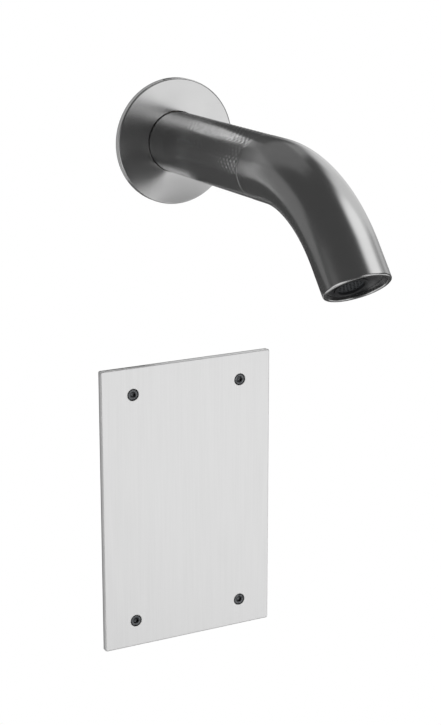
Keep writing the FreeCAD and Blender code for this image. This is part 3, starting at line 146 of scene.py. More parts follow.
def finish(name, light, dark, grain, rough, bump=0.0, stretch=(1, 1, 1), metal=0.0, **more):
    """A material whose colour, roughness and surface follow one grain, in millimetres.

    Light and dark are the two colours that the grain runs between, rough the two
    roughnesses, bump the depth of the grain, and stretch its scale along X, Y and Z.
    More sets other sockets of the shader.
    """
    material = bpy.data.materials.new(name)
    material.use_nodes = True
    tree = material.node_tree
    shader = tree.nodes["Principled BSDF"]
    shader.inputs["Metallic"].default_value = metal
    for socket, setting in more.items():
        shader.inputs[socket].default_value = setting
    place = add(tree, "ShaderNodeTexCoord")
    lay = add(tree, "ShaderNodeMapping", {"Vector": place.outputs["Object"]}, Scale=stretch)
    pattern = add(
        tree, "ShaderNodeTexNoise", {"Vector": lay.outputs["Vector"]},
        Scale=1 / (grain * MM), Detail=3.0, Roughness=0.6,
    )
    spread = add(
        tree, "ShaderNodeMapRange", {"Value": pattern.outputs["Fac"]}, From_Min=0.3, From_Max=0.7
    )
    colour = add(
        tree, "ShaderNodeMix", {"Factor": spread.outputs["Result"]}, data_type="RGBA"
    )
    colour.inputs[FIRST_COLOUR].default_value = linear(dark)
    colour.inputs[SECOND_COLOUR].default_value = linear(light)
    tree.links.new(colour.outputs[MIXED_COLOUR], shader.inputs["Base Color"])
    gloss = add(
        tree, "ShaderNodeMapRange", {"Value": spread.outputs["Result"]},
        To_Min=rough[1], To_Max=rough[0],
    )
    tree.links.new(gloss.outputs["Result"], shader.inputs["Roughness"])
    if bump:
        relief = add(
            tree, "ShaderNodeBump", {"Height": pattern.outputs["Fac"]},
            Strength=1.0, Distance=bump * MM,
        )
        tree.links.new(relief.outputs["Normal"], shader.inputs["Normal"])
    return material


# The finish of each slot, with its grain in millimetres. Real hair lines, tool marks,
# casting grit and moulded textures are mostly finer than half a millimetre, which the
# render can't show, so they are drawn as coarse as they need to be, 0.5 to 2.5 mm.
FINISHES = {
    # Chromed brass, satin: a soft mirror with the faintest waviness
    "polished_metal": finish("satin_chrome", "#d8d8d8", "#d2d2d2", 30, (0.20, 0.24), metal=1.0),
    # Chromed brass over a fine knurl: each facet mirrors a little differently
    "worked_metal": finish("knurled_chrome", "#e4e4e4", "#cccccc", 1.5, (0.16, 0.26), metal=1.0),
    # Stainless sheet with an upright brushing: a pale, even sheen with hair lines
    "plate_metal": finish(
        "brushed_stainless_steel", "#eeeeee", "#ebebeb", 0.8, (0.345, 0.36), 0.0002, (1, 1, 0.02),
        metal=1.0,
    ),
    # Stainless screws, their colour darkened below that of steel as painted shade for their sockets
    # and counterbores, and a little cloudy
    "screw_steel": finish(
        "stainless_steel_darkened_as_shade", "#77797b", "#4b4d50", 1.5, (0.22, 0.38), metal=1.0
    ),
    # Turned brass: yellow, faintly marked by the tool
    "brass": finish("turned_brass", "#e0bd7c", "#c79f58", 2.0, (0.22, 0.34), 0.005, metal=1.0),
    # Sand-cast brass, tumbled: duller and grainy
    "cast_brass": finish("cast_brass", "#d0aa68", "#a98546", 1.2, (0.38, 0.55), 0.03, metal=1.0),
    # Zinc-plated steel: grey with cloudy spangle
    "zinc_steel": finish(
        "zinc_plated_steel", "#c8ccd0", "#9da2a8", 6, (0.28, 0.45), 0.004, metal=1.0
    ),
    # Ferritic stainless steel of the solenoid and the springs: grey and satin
    "magnetic_steel": finish(
        "satin_ferritic_steel", "#c2c4c6", "#a2a5a8", 3, (0.25, 0.36), metal=1.0
    ),
    # Moulded ABS of the in-wall box: blue, with a spark-eroded texture
    "box_plastic": finish("moulded_blue_abs", "#3f6ea3", "#35608f", 0.6, (0.45, 0.60), 0.02),
    # Extruded polypropylene pipe: dark grey and slightly uneven
    "pipe_plastic": finish("extruded_polypropylene", "#55585c", "#484b4f", 2.0, (0.40, 0.52), 0.01),
    # Moulded black acetal: slightly waxy
    "dark_plastic": finish("moulded_black_acetal", "#2b2c2e", "#202123", 1.0, (0.32, 0.45), 0.008),
    # Moulded grey ABS: even and softly glossy
    "grey_plastic": finish("moulded_grey_abs", "#a7aaad", "#989b9e", 0.8, (0.40, 0.52), 0.01),
    # Glass-filled nylon, natural: off-white and a little mottled
    "white_plastic": finish("natural_nylon", "#e4e1d8", "#d3cfc4", 2.5, (0.35, 0.50), 0.01),
    # Infrared-passing polycarbonate: near black and glossy
    "lens_plastic": finish(
        "infrared_polycarbonate", "#1a1216", "#120c10", 4, (0.06, 0.10), IOR=1.58
    ),
    # EPDM hose: matt black
    "hose_rubber": finish("extruded_epdm", "#2a2a2b", "#1f1f20", 1.0, (0.55, 0.72), 0.015),
    # Moulded EPDM seals: matt black with a bloom
    "seal_rubber": finish("moulded_epdm", "#303031", "#232324", 1.5, (0.60, 0.78), 0.01),
    # Closed-cell polyethylene foam: grey, with visible cells
    "foam": finish("closed_cell_foam", "#63666a", "#3f4246", 0.5, (0.80, 0.95), 0.08),
    # PVC jacket of the leads: soft sheen
    "lead_jacket": finish("pvc_jacket", "#2f3033", "#26272a", 2.0, (0.38, 0.50), 0.004),
    # Glass-epoxy board under solder resist: green and smooth
    "board": finish("solder_resist", "#2f7a4a", "#256a3e", 0.9, (0.25, 0.40), 0.004),
    # Epoxy cover moulded round the winding: blue-black
    "coil_plastic": finish("moulded_epoxy", "#2c3340", "#232936", 1.5, (0.30, 0.45), 0.012),
    # Shrink wrap of the battery: yellow film, glossy
    "battery_film": finish("shrink_film", "#d9b63c", "#caa631", 8, (0.16, 0.28), 0.006),
    # Nickel-plated brass of stops and spindle: warm grey
    "stop_metal": finish("nickel_plated_brass", "#cdc9c0", "#b0aba0", 2.0, (0.20, 0.32), metal=1.0),
}
# Moulded charcoal acetal of the aerator's screen, paler than what holds it
SCREEN_FINISH = finish(
    "moulded_charcoal_acetal", "#45474a", "#37393b", 0.8, (0.40, 0.52), 0.01
)


# Outlines and rings

RUN_ON = 0.15


def eased(corners, radius, steps=5):
    """A closed outline with its corners rounded; corners may give a radius of their own.

    One more point, a share RUN_ON of the radius past each end of a rounding, keeps the
    shading of the flats beside it flat.
    """
    outline = []
    count = len(corners)
    for i, corner in enumerate(corners):
        here = Vector(corner[:2])
        size = corner[2] if len(corner) > 2 else radius
        if not size:
            outline.append(here)
            continue
        back = (Vector(corners[i - 1][:2]) - here).normalized()
        on = (Vector(corners[(i + 1) % count][:2]) - here).normalized()
        half = back.angle(on) / 2
        reach = size / math.tan(half)
        middle = here + (back + on).normalized() * size / math.sin(half)
        start = here + back * reach - middle
        end = here + on * reach - middle
        swing = start.angle_signed(end)
        outline.append(here + back * (reach + RUN_ON * size))
        for step in range(steps + 1):
            turn = Matrix.Rotation(-swing * step / steps, 2)
            outline.append(middle + turn @ start)
        outline.append(here + on * (reach + RUN_ON * size))
    return outline


def rounding(size, steps):
    """A quarter circle as pairs: the first grows to the size as the second falls to 0."""
    turns = [math.pi / 2 * step / steps for step in range(steps + 1)]
    return [(size * (1 - math.cos(turn)), size * (1 - math.sin(turn))) for turn in turns]


def loop(middle, radius, level, count=48, along="Y"):
    """A ring of points round an axis. The radius is a number, or follows the angle."""
    points = []
    for i in range(count):
        turn = TURN * i / count
        reach = radius(turn) if callable(radius) else radius
        a = reach * math.cos(turn)
        b = reach * math.sin(turn)
        points.append(middle + Vector((a, level, b) if along == "Y" else (a, b, level)))
    return points


def loops(pairs, middle=Vector(), count=48):
    """Rings round an axis into the wall, from pairs of a radius and a level."""
    return [loop(middle, radius, level, count) for radius, level in pairs]


def hexagon(across):
    """The radius of a hexagon with corners to both sides."""
    return lambda turn: across / 2 / math.cos(turn % (math.pi / 3) - math.pi / 6)


def thread(radius, depth, pitch, level):
    """The radius of a screw thread at a level."""
    return lambda turn: radius - depth * abs((level / pitch + turn / TURN) % 1 - 0.5) * 2


# Mesh making

# Points closer than this are one, and faces that turn by less than this shade as one
WELD = 1e-7
SMOOTH_ANGLE = math.radians(35)


def weave(mesh, rings, closed=False):
    """Adds rings of equal length to a mesh, each joined to the next by quads.

    Closed joins the last ring to the first. The rings' rows of vertices come back.
    """
    rows = [[mesh.verts.new(point) for point in ring] for ring in rings]
    count = len(rows[0])
    onward = rows[1:] + (rows[:1] if closed else [])
    for low, high in zip(rows, onward):
        for i in range(count):
            j = (i + 1) % count
            mesh.faces.new((low[i], low[j], high[j], high[i]))
    return rows


def fill(mesh, outlines):
    """Fills the flat area between rows of vertices with triangles."""
    rims = []
    for row in outlines:
        for ends in zip(row, row[1:] + row[:1]):
            rims.append(mesh.edges.get(ends) or mesh.edges.new(ends))
    bmesh.ops.triangle_fill(mesh, use_beauty=True, edges=rims)


def held(name, mesh):
    """A new object that holds a bmesh."""
    data = bpy.data.meshes.new(name)
    mesh.to_mesh(data)
    mesh.free()
    return linked(name, data)


def finished(name, mesh):
    """Turns a bmesh into an object, smooth but for its sharp edges."""
    bmesh.ops.remove_doubles(mesh, verts=mesh.verts, dist=WELD)
    bmesh.ops.recalc_face_normals(mesh, faces=mesh.faces)
    for face in mesh.faces:
        face.smooth = True
    for edge in mesh.edges:
        edge.smooth = len(edge.link_faces) == 2 and edge.calc_face_angle(0) < SMOOTH_ANGLE
    return held(name, mesh)


def woven(name, *stacks, closed=True):
    """A piece from stacks of rings, each closed on itself or capped at both ends."""
    mesh = bmesh.new()
    for rings in stacks:
        rows = weave(mesh, rings, closed)
        if not closed:
            mesh.faces.new(list(reversed(rows[0])))
            mesh.faces.new(rows[-1])
    return finished(name, mesh)


def dress(piece, body, slot, *nodes):
    """Puts a piece on its body with the finish of its slot, in place of the nodes."""
    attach(piece, body)
    if nodes:
        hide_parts(*nodes)
    piece.data.materials.clear()
    piece.data.materials.append(FINISHES[slot])
    return piece


# Spout: bent tube with a rounded mouth, the knurled sleeve over its straight part, flange

def spout_place(distance):
    """The point on the spout's axis at a distance past its start, and the way it runs."""
    if distance <= STRAIGHT_LENGTH:
        return Vector((0, TUBE_START - distance, 0)), 0.0
    angle = min((distance - STRAIGHT_LENGTH) / BEND_RADIUS, BEND_ANGLE)
    point = Vector((
        0, STRAIGHT_END - BEND_RADIUS * math.sin(angle), -BEND_RADIUS * (1 - math.cos(angle)),
    ))
    rest = max(distance - STRAIGHT_LENGTH - BEND_LENGTH, 0)
    return point + rest * Vector((0, -math.cos(angle), -math.sin(angle))), angle


def spout_ring(distance, radius, count=128):
    """One ring of the spout, square to its axis and leaning with the mouth near its end."""
    lean_length = NOSE_LENGTH - 2 * MM
    middle, angle = spout_place(distance)
    up = Vector((0, -math.sin(angle), math.cos(angle)))
    on = Vector((0, -math.cos(angle), -math.sin(angle)))
    lean = min(max((distance - SPOUT_LENGTH + NOSE_LENGTH) / lean_length, 0), 1)
    ring = []
    for step in range(count):
        turn = TURN * step / count
        side = Vector((1, 0, 0)) * math.cos(turn) + up * math.sin(turn)
        further = lean * radius * math.sin(turn) * math.tan(MOUTH_TILT)
        ring.append(middle + radius * side + further * on)
    return ring


def make_spout():
    """Barrel under the sleeve, a shoulder, the bend, the nose with its lip, and the bore."""
    shoulder = 0.35 * MM
    past_shoulder = 1 * MM
    lip = 0.75 * MM
    inner_lip = 0.5 * MM
    bends = 64
    inner_bends = 16
    places = [(0, BARREL_RADIUS), (SLEEVE_LENGTH, BARREL_RADIUS)]
    places += [(SLEEVE_LENGTH + on, SPOUT_RADIUS - off) for on, off in rounding(shoulder, 5)]
    places += [(SLEEVE_LENGTH + past_shoulder, SPOUT_RADIUS), (STRAIGHT_LENGTH, SPOUT_RADIUS)]
    places += [
        (STRAIGHT_LENGTH + BEND_LENGTH * step / bends, SPOUT_RADIUS)
        for step in range(1, bends + 1)
    ]
    places += [(SPOUT_LENGTH - back * MM, SPOUT_RADIUS) for back in (10, 5, 2.4, 1)]
    places += [(SPOUT_LENGTH - off, SPOUT_RADIUS - on) for on, off in rounding(lip, 6)]
    places += [(SPOUT_LENGTH - on, MOUTH_BORE + off) for on, off in rounding(inner_lip, 5)]
    places.append((SPOUT_LENGTH - NOSE_LENGTH, MOUTH_BORE))
    places += [
        (STRAIGHT_LENGTH + BEND_LENGTH * step / inner_bends, MOUTH_BORE)
        for step in reversed(range(inner_bends))
    ]
    places += [(STRAIGHT_LENGTH, BARREL_BORE), (0, BARREL_BORE)]
    rings = [spout_ring(distance, radius) for distance, radius in places]
    dress(woven("bent_spout", rings), "wall_unit", "polished_metal", "spout_tube")


def make_sleeve():
    """Diamond knurl: two families of crossing grooves, four points to each diamond.

    A real knurl is about 1 mm across a diamond, too fine for the render to show, so
    this one is drawn about three times as coarse.
    """
    pitch = 3.2 * MM
    depth = 0.22 * MM
    land = 0.9 * MM
    ease = 0.1 * MM
    bore = BARREL_RADIUS + 0.1 * MM
    around = 4 * round(TURN * SPOUT_RADIUS / pitch)
    rows = 4 * round((SLEEVE_LENGTH - 2 * land) / pitch)

    def zigzag(steps):
        """1 on a ridge and 0 in a groove, over four points."""
        return abs((steps % 4) - 2) / 2

    def knurled(row):
        """The radius of one row of points, which follows the angle."""
        def radius(turn):
            i = round(turn / TURN * around)
            return SPOUT_RADIUS - depth * (1 - min(zigzag(i + row), zigzag(i - row)))
        return radius

    edge = rounding(ease, 4)
    pairs = [(bore, TUBE_START)]
    pairs += [(SPOUT_RADIUS - off, TUBE_START - on) for on, off in edge]
    for row in range(rows + 1):
        level = TUBE_START - land - (SLEEVE_LENGTH - 2 * land) * row / rows
        pairs.append((knurled(row), level))
    pairs += [(SPOUT_RADIUS - off, SLEEVE_END + on) for on, off in reversed(edge)]
    pairs.append((bore, SLEEVE_END))
    sleeve = woven("knurled_sleeve", loops(pairs, count=around))
    dress(sleeve, "wall_unit", "worked_metal", "textured_sleeve")


def make_flange():
    """Turned escutcheon with a softened front edge and the groove of its seal."""
    outline = eased([
        (FLANGE_HOLE, 0, 0),
        (SEAL_INNER, 0, 0),
        (SEAL_INNER, -SEAL_DEPTH, 0),
        (SEAL_OUTER, -SEAL_DEPTH, 0),
        (SEAL_OUTER, 0, 0),
        (FLANGE_RADIUS, 0, 0.2 * MM),
        (FLANGE_RADIUS, -FLANGE_THICKNESS, 0.6 * MM),
        (FLANGE_HOLE, -FLANGE_THICKNESS, 0.08 * MM),
    ], 0)
    flange = woven("round_flange", loops(outline, count=160))
    dress(flange, "wall_unit", "polished_metal", "wall_flange")


# Cover plate and its screws

def plate_edge(inset, level):
    """The plate's outline, drawn in by an inset, at a level."""
    corner = max(0.8 * MM - inset, 0.2 * MM)
    half_x = PLATE_WIDTH / 2 - inset
    half_z = PLATE_HEIGHT / 2 - inset
    corners = [(-half_x, -half_z), (half_x, -half_z), (half_x, half_z), (-half_x, half_z)]
    return [PLATE_MIDDLE + Vector((x, level, z)) for x, z in eased(corners, corner, 4)]


def make_plate():
    """Flat sheet with eased edges and four sunk screw holes, from the back to the face."""
    face = -PLATE_THICKNESS
    ease = 0.35 * MM
    back_ease = 0.15 * MM
    within = 0.3 * MM
    sunk = face + 2.05 * MM
    screw_bore = 1.7 * MM
    head_bore = 2.95 * MM
    edge = [(back_ease, 0), (0, -back_ease)]
    edge += [(on, face + off) for on, off in rounding(ease, 4)]
    edge.append((ease + within, face))
    hole = [
        (screw_bore, 0), (screw_bore, sunk), (head_bore, sunk), (head_bore, face + 0.2 * MM),
        (3.0 * MM, face + 0.07 * MM), (3.15 * MM, face), (3.4 * MM, face),
    ]
    stacks = [[plate_edge(inset, level) for inset, level in edge]]
    stacks += [loops(hole, middle) for middle in SCREW_MIDDLES]
    mesh = bmesh.new()
    woven_rows = [weave(mesh, rings) for rings in stacks]
    fill(mesh, [rows[-1] for rows in woven_rows])
    fill(mesh, [rows[0] for rows in woven_rows])
    dress(finished("flat_cover_plate", mesh), "cover", "plate_metal", "cover_plate")


# Cover screws in millimetres: radius, and depth below the top, round the head's outside;
# then width across flats and depth inside its socket
SCREW_HEAD = (
    (2.6, 1.9), (2.75, 1.75), (2.75, 0.35), (2.68, 0.14), (2.5, 0.02), (2.35, 0), (1.62, 0),
)
SCREW_SOCKET = ((2.62, 0.12), (2.5, 0.2), (2.5, 1.3))


def make_cover_screws():
    """Socket head screws with an eased rim, a hexagon socket and a rolled thread."""
    top = -PLATE_THICKNESS + 0.15 * MM
    under = top + 1.9 * MM
    tip = under + 14.0 * MM
    core = 1.45 * MM
    depth = 0.28 * MM
    pitch = 0.5 * MM
    turns = 26
    steps = 8
    pairs = [(0.6 * MM, tip), (1.1 * MM, tip - 0.1 * MM)]
    for step in range(turns * steps + 1):
        level = tip - 0.4 * MM - step * pitch / steps
        pairs.append((thread(core, depth, pitch, level), level))
    pairs.append((core, under))
    pairs += [(radius * MM, top + level * MM) for radius, level in SCREW_HEAD]
    pairs += [(hexagon(across * MM), top + level * MM) for across, level in SCREW_SOCKET]
    pairs.append((0.2 * MM, top + 1.6 * MM))
    stacks = [loops(pairs, middle) for middle in SCREW_MIDDLES]
    screws = woven("cover_socket_screws", *stacks, closed=False)
    dress(screws, "cover", "screw_steel", "cover_screws")


# Inlet nipples and springs

def make_nipples():
    """Hexagon nipples with a cut pipe thread, chamfered corners and a plain spigot."""
    around = 72
    foot = -266.4
    nut_foot = -242.4
    nut_top = -238.4
    top = -228.7
    shoulder = 10.6
    corners = hexagon(22.0 * MM)
    chamfer = 0.45
    thread_radius = 10.48 * MM
    thread_depth = 1.1 * MM
    pitch = 1.814 * MM
    turns = 8
    steps = 8

    def smooth(*pairs):
        """Round rings, from radii and levels in millimetres."""
        return [(radius * MM, level * MM, 0) for radius, level in pairs]

    def nipple_ring(middle, radius, level, slope):
        """A ring that rises by its slope with the distance beyond the shoulder."""
        ring = loop(middle, radius, level, around, "Z")
        for point in ring:
            point.z += slope * ((point - middle).to_2d().length - shoulder * MM)
        return ring

    parts = smooth((6.9, foot), (9.3, foot), (9.6, foot + 0.2))
    for step in range(turns * steps + 1):
        level = (foot + 0.4) * MM + step * pitch / steps
        parts.append((thread(thread_radius, thread_depth, pitch, level), level, 0))
    parts += smooth(
        (9.8, foot + 15), (9.8, nut_foot - 0.2), (10.2, nut_foot), (shoulder, nut_foot)
    )
    parts += [(corners, nut_foot * MM, chamfer), (corners, nut_top * MM, -chamfer)]
    parts += smooth(
        (shoulder, nut_top), (8.0, nut_top), (8.0, top - 0.3), (7.7, top), (6.7, top),
        (6.5, top - 0.2), (6.5, foot + 0.4),
    )
    middles = [Vector((x, WATER_Y, 0)) for x in INLETS_X]
    stacks = [[nipple_ring(middle, *part) for part in parts] for middle in middles]
    dress(woven("threaded_nipples", *stacks), "wall_unit", "brass", "inlet_nipples")


# Springs, in millimetres: node, the joint that presses it, middle, coil radius, turns,
# lowest and highest wire centre, the level of its fixed end and the joint's lift
SPRINGS = (
    ("hot_check_spring", "hot_check_lift", (-16.6, 35), 2.9, 5, -210.0, -200.8, -200.4, 2.5),
    ("cold_check_spring", "cold_check_lift", (27.4, 35), 2.9, 5, -210.0, -200.8, -200.4, 2.5),
    ("plunger_spring", "plunger_lift", (5.4, 38), 2.4, 6, -170.0, -162.5, -162.1, 2.0),
)
WIRE_RADIUS = 0.35
# Turns at each end that close on the next, a hair more than the wire's width apart
CLOSED_TURNS = 0.8
CLOSED_RISE = CLOSED_TURNS * 2.06 * WIRE_RADIUS


def make_springs():
    """Wound springs with closed ends."""
    steps = 36
    sides = 12
    for node, joint, (x, y), coil, turns, low, high, fixed, lift in SPRINGS:
        rings = []
        for step in range(turns * steps + 1):
            turn = step / steps
            if turn < CLOSED_TURNS:
                level = low + CLOSED_RISE * turn / CLOSED_TURNS
            elif turn > turns - CLOSED_TURNS:
                level = high - CLOSED_RISE * (turns - turn) / CLOSED_TURNS
            else:
                share = (turn - CLOSED_TURNS) / (turns - 2 * CLOSED_TURNS)
                level = low + CLOSED_RISE + share * (high - low - 2 * CLOSED_RISE)
            out = Vector((math.cos(TURN * turn), math.sin(TURN * turn), 0))
            ring = []
            for side in range(sides):
                angle = TURN * side / sides
                reach = coil + WIRE_RADIUS * math.cos(angle)
                rise = Vector((x, y, level + WIRE_RADIUS * math.sin(angle)))
                ring.append((rise + out * reach) * MM)
            rings.append(ring)
        spring = woven("wound_" + node, rings, closed=False)
        dress(spring, "wall_unit", "magnetic_steel", node)
        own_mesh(spring)


# Nodes whose sharp edges are eased, as moulding, casting or tumbling leaves them, and by
# how many millimetres
EASED = {
    "box_housing": 0.6,
    "spout_bracket": 0.4,
    "lock_nut": 0.5,
    "lock_washer": 0.2,
    "conduit": 0.3,
    "valve_block": 0.8,
    "valve_chamber": 0.4,
    "solenoid_coil": 0.9,
    "coil_nut": 0.3,
    "cartridge_nut": 0.4,
    "service_caps": 0.3,
    "stop_glands": 0.2,
    "hose_connector": 0.25,
    "control_case": 1.0,
    "control_lid": 0.4,
    "battery_holder": 0.8,
    "temperature_knob": 0.4,
    "hot_stop": 0.2,
    "cold_stop": 0.2,
    "mixing_cartridge": 0.3,
    "cover_gasket": 0.3,
    "conduit_grommet": 0.4,
    "inlet_grommets": 0.3,
    "outlet_insert": 0.25,
    "aerator_housing": 0.2,
    "sensor_lens": 0.2,
    "block_screws": 0.25,
    "knob_screw": 0.15,
    "bonnet_screws": 0.12,
}
BODY_OF = {
    node: body for body, nodes in frame["record"]["behaviour"]["bodies"].items() for node in nodes
}
# In the solids' meshes, points closer than this are one, faces that turn by less than
# the flat angle are one, and edges that turn by more than the sharp angle are eased
SOLID_WELD = 1e-6
FLAT_ANGLE = math.radians(0.5)
SHARP_ANGLE = math.radians(40)
# Edges shorter than this many widths of their easing stay as they are
SHORTEST_EASED = 2.2


def ease_edges(node_name, width):
    """Replaces a node by a copy with its long sharp edges rounded."""
    source = frame["nodes"][node_name]
    slot = source.material_slots[0].material.name.split(".")[0]
    mesh = bmesh.new()
    mesh.from_mesh(source.data)
    bmesh.ops.remove_doubles(mesh, verts=mesh.verts, dist=SOLID_WELD)
    bmesh.ops.dissolve_limit(
        mesh, angle_limit=FLAT_ANGLE, verts=mesh.verts, edges=mesh.edges
    )
    marked = mesh.edges.layers.float.new("bevel_weight_edge")
    for edge in mesh.edges:
        if len(edge.link_faces) == 2 and edge.calc_face_angle(0) > SHARP_ANGLE:
            if edge.calc_length() > SHORTEST_EASED * width:
                edge[marked] = 1.0
    piece = finished("eased_" + node_name, mesh)
    ease = piece.modifiers.new("ease", "BEVEL")
    ease.width = width
    ease.segments = 3
    ease.limit_method = "WEIGHT"
    ease.use_clamp_overlap = False
    ease.harden_normals = True
    dress(piece, BODY_OF[node_name], slot, node_name)


make_spout()
make_sleeve()
make_flange()
make_plate()
make_cover_screws()
make_nipples()
make_springs()
for node_name, width in EASED.items():
    ease_edges(node_name, width * MM)


# Finishes of the nodes that show as they are

shown = {
    name: node for name, node in frame["nodes"].items() if not node.hide_render
}
for node in shown.values():
    for place in node.material_slots:
        if place.material and place.material.name in FINISHES:
            place.material = FINISHES[place.material.name]
shown["aerator_screen"].material_slots[0].material = SCREEN_FINISH


# Room: a white wall and a pale floor for the eye; dark cards with soft bright panels and
# small cards near the part, which only metal and gloss mirror; a soft world and lamps.
# These are metres: how far below the flange the floor is, and how far both reach

FLOOR_LEVEL = -0.9
ROOM_REACH = 1.6
FLOOR_REACH = 12.0


def plain(name, colour, strength):
    """An even surface of the room, lit from itself."""
    material = bpy.data.materials.new(name)
    material.use_nodes = True
    tree = material.node_tree
    tree.nodes.remove(tree.nodes["Principled BSDF"])
    glow = add(tree, "ShaderNodeEmission", Color=linear(colour), Strength=strength)
    tree.links.new(glow.outputs["Emission"], tree.nodes["Material Output"].inputs["Surface"])
    material.cycles.emission_sampling = "NONE"
    return material


def clear_behind(material):
    """Makes a plain material clear on the back of its faces."""
    tree = material.node_tree
    side = add(tree, "ShaderNodeNewGeometry")
    clear = add(tree, "ShaderNodeBsdfTransparent")
    mix = add(tree, "ShaderNodeMixShader", {
        "Fac": side.outputs["Backfacing"],
        1: tree.nodes["Emission"].outputs["Emission"],
        2: clear.outputs["BSDF"],
    })
    tree.links.new(mix.outputs["Shader"], tree.nodes["Material Output"].inputs["Surface"])


def hide_from(item, *rays):
    """Leaves a piece of the room out of what these rays meet."""
    for ray in rays:
        setattr(item, "visible_" + ray, False)


def make_wall():
    """The finished wall round the flange and the plate, white, seen only from the room."""
    behind_face = 0.2 * MM
    box_gap = 3.6 * MM
    pipe_hole = 20 * MM
    material = plain("wall_paint", WHITE, 1.0)
    clear_behind(material)
    corners = [
        (-ROOM_REACH, FLOOR_LEVEL), (ROOM_REACH, FLOOR_LEVEL),
        (ROOM_REACH, ROOM_REACH), (-ROOM_REACH, ROOM_REACH),
    ]
    half_x = BOX_WIDTH / 2 + box_gap
    half_z = BOX_HEIGHT / 2 + box_gap
    window = [
        (PLATE_MIDDLE.x + x * half_x, PLATE_MIDDLE.z + z * half_z)
        for x, z in ((-1, -1), (1, -1), (1, 1), (-1, 1))
    ]
    hole = [(point.x, point.z) for point in loop(Vector(), pipe_hole, 0)]
    mesh = bmesh.new()
    fill(mesh, [
        [mesh.verts.new((x, behind_face, z)) for x, z in outline]
        for outline in (corners, window, hole)
    ])
    for face in mesh.faces:
        if face.normal.y > 0:
            face.normal_flip()
    wall = held("wall", mesh)
    wall.data.materials.append(material)
    hide_from(wall, "diffuse", "glossy", "transmission", "shadow")


def make_floor():
    """A pale floor well below the basin's height, fading into the white round it."""
    fade_start = 1.0
    fade_end = 4.0
    material = finish("pale_floor", "#f2f2f2", "#eeeeee", 40, (0.7, 0.8))
    tree = material.node_tree
    place = add(tree, "ShaderNodeTexCoord")
    far = add(
        tree, "ShaderNodeVectorMath", {"Vector": place.outputs["Object"]}, operation="LENGTH"
    )
    fade = add(
        tree, "ShaderNodeMapRange", {"Value": far.outputs["Value"]},
        interpolation_type="SMOOTHSTEP", From_Min=fade_start, From_Max=fade_end,
    )
    white = add(tree, "ShaderNodeEmission", Color=linear(WHITE), Strength=1.0)
    mix = add(tree, "ShaderNodeMixShader", {
        "Fac": fade.outputs["Result"],
        1: tree.nodes["Principled BSDF"].outputs["BSDF"],
        2: white.outputs["Emission"],
    })
    tree.links.new(mix.outputs["Shader"], tree.nodes["Material Output"].inputs["Surface"])
    data = bpy.data.meshes.new("floor")
    corners = ((-1, -1), (1, -1), (1, 1), (-1, 1))
    data.from_pydata(
        [(x * FLOOR_REACH, y * FLOOR_REACH, FLOOR_LEVEL) for x, y in corners], [], [range(4)]
    )
    data.materials.append(material)
    floor = linked("floor", data)
    hide_from(floor, "diffuse", "glossy")


# Soft panels in the dark studio: where each lies from the mixer, as degrees round from
# the way into the wall towards +X and degrees up, its inner and outer half width in
# degrees, and how bright it is. CARD_LEVEL is the brightness of the dark round them,
# CARDS_RADIUS how far off they stand, in metres.
CARD_LEVEL = 0.07
CARDS_RADIUS = 2.6
PANELS = (
    (154, -17, 16, 28, 1.00),
    (174, 27, 3, 17, 0.75),
    (46, 10, 4, 19, 0.75),
    (60, 24, 12, 26, 0.66),
    (80, 42, 10, 24, 0.66),
    (110, 48, 12, 27, 1.00),
    (232, -36, 10, 25, 1.00),
    (264, -12, 14, 33, 0.90),
    (104, -34, 8, 27, 0.80),
    (300, -48, 8, 27, 0.70),
    (0, -90, 12, 29, 0.60),
)


def make_cards():
    """Dark cards all round with soft bright panels, which only metal and gloss mirror."""
    material = plain("card_felt", WHITE, 1.0)
    tree = material.node_tree
    place = add(tree, "ShaderNodeTexCoord")
    way = add(
        tree, "ShaderNodeVectorMath", {"Vector": place.outputs["Object"]}, operation="NORMALIZE"
    )
    level = None
    for azimuth, elevation, inner, outer, strength in PANELS:
        turn = math.radians(azimuth)
        rise = math.radians(elevation)
        near = add(
            tree, "ShaderNodeVectorMath", {0: way.outputs["Vector"]}, operation="DOT_PRODUCT"
        )
        near.inputs[1].default_value = (
            math.cos(rise) * math.sin(turn), math.cos(rise) * math.cos(turn), math.sin(rise)
        )
        glow = add(
            tree, "ShaderNodeMapRange", {"Value": near.outputs["Value"]},
            interpolation_type="SMOOTHSTEP",
            From_Min=math.cos(math.radians(outer)), From_Max=math.cos(math.radians(inner)),
            To_Min=0.0, To_Max=strength,
        )
        if level:
            both = {0: level, 1: glow.outputs["Result"]}
            level = add(tree, "ShaderNodeMath", both, operation="MAXIMUM").outputs["Value"]
        else:
            level = glow.outputs["Result"]
    whole = add(tree, "ShaderNodeMath", {0: level}, operation="ADD")
    whole.inputs[1].default_value = CARD_LEVEL
    tree.links.new(whole.outputs["Value"], tree.nodes["Emission"].inputs["Strength"])
    mesh = bmesh.new()
    bmesh.ops.create_icosphere(mesh, subdivisions=5, radius=CARDS_RADIUS)
    cards = held("cards", mesh)
    cards.location = Vector((0, -60, -100)) * MM
    cards.data.materials.append(material)
    hide_from(cards, "camera", "diffuse", "transmission", "shadow")


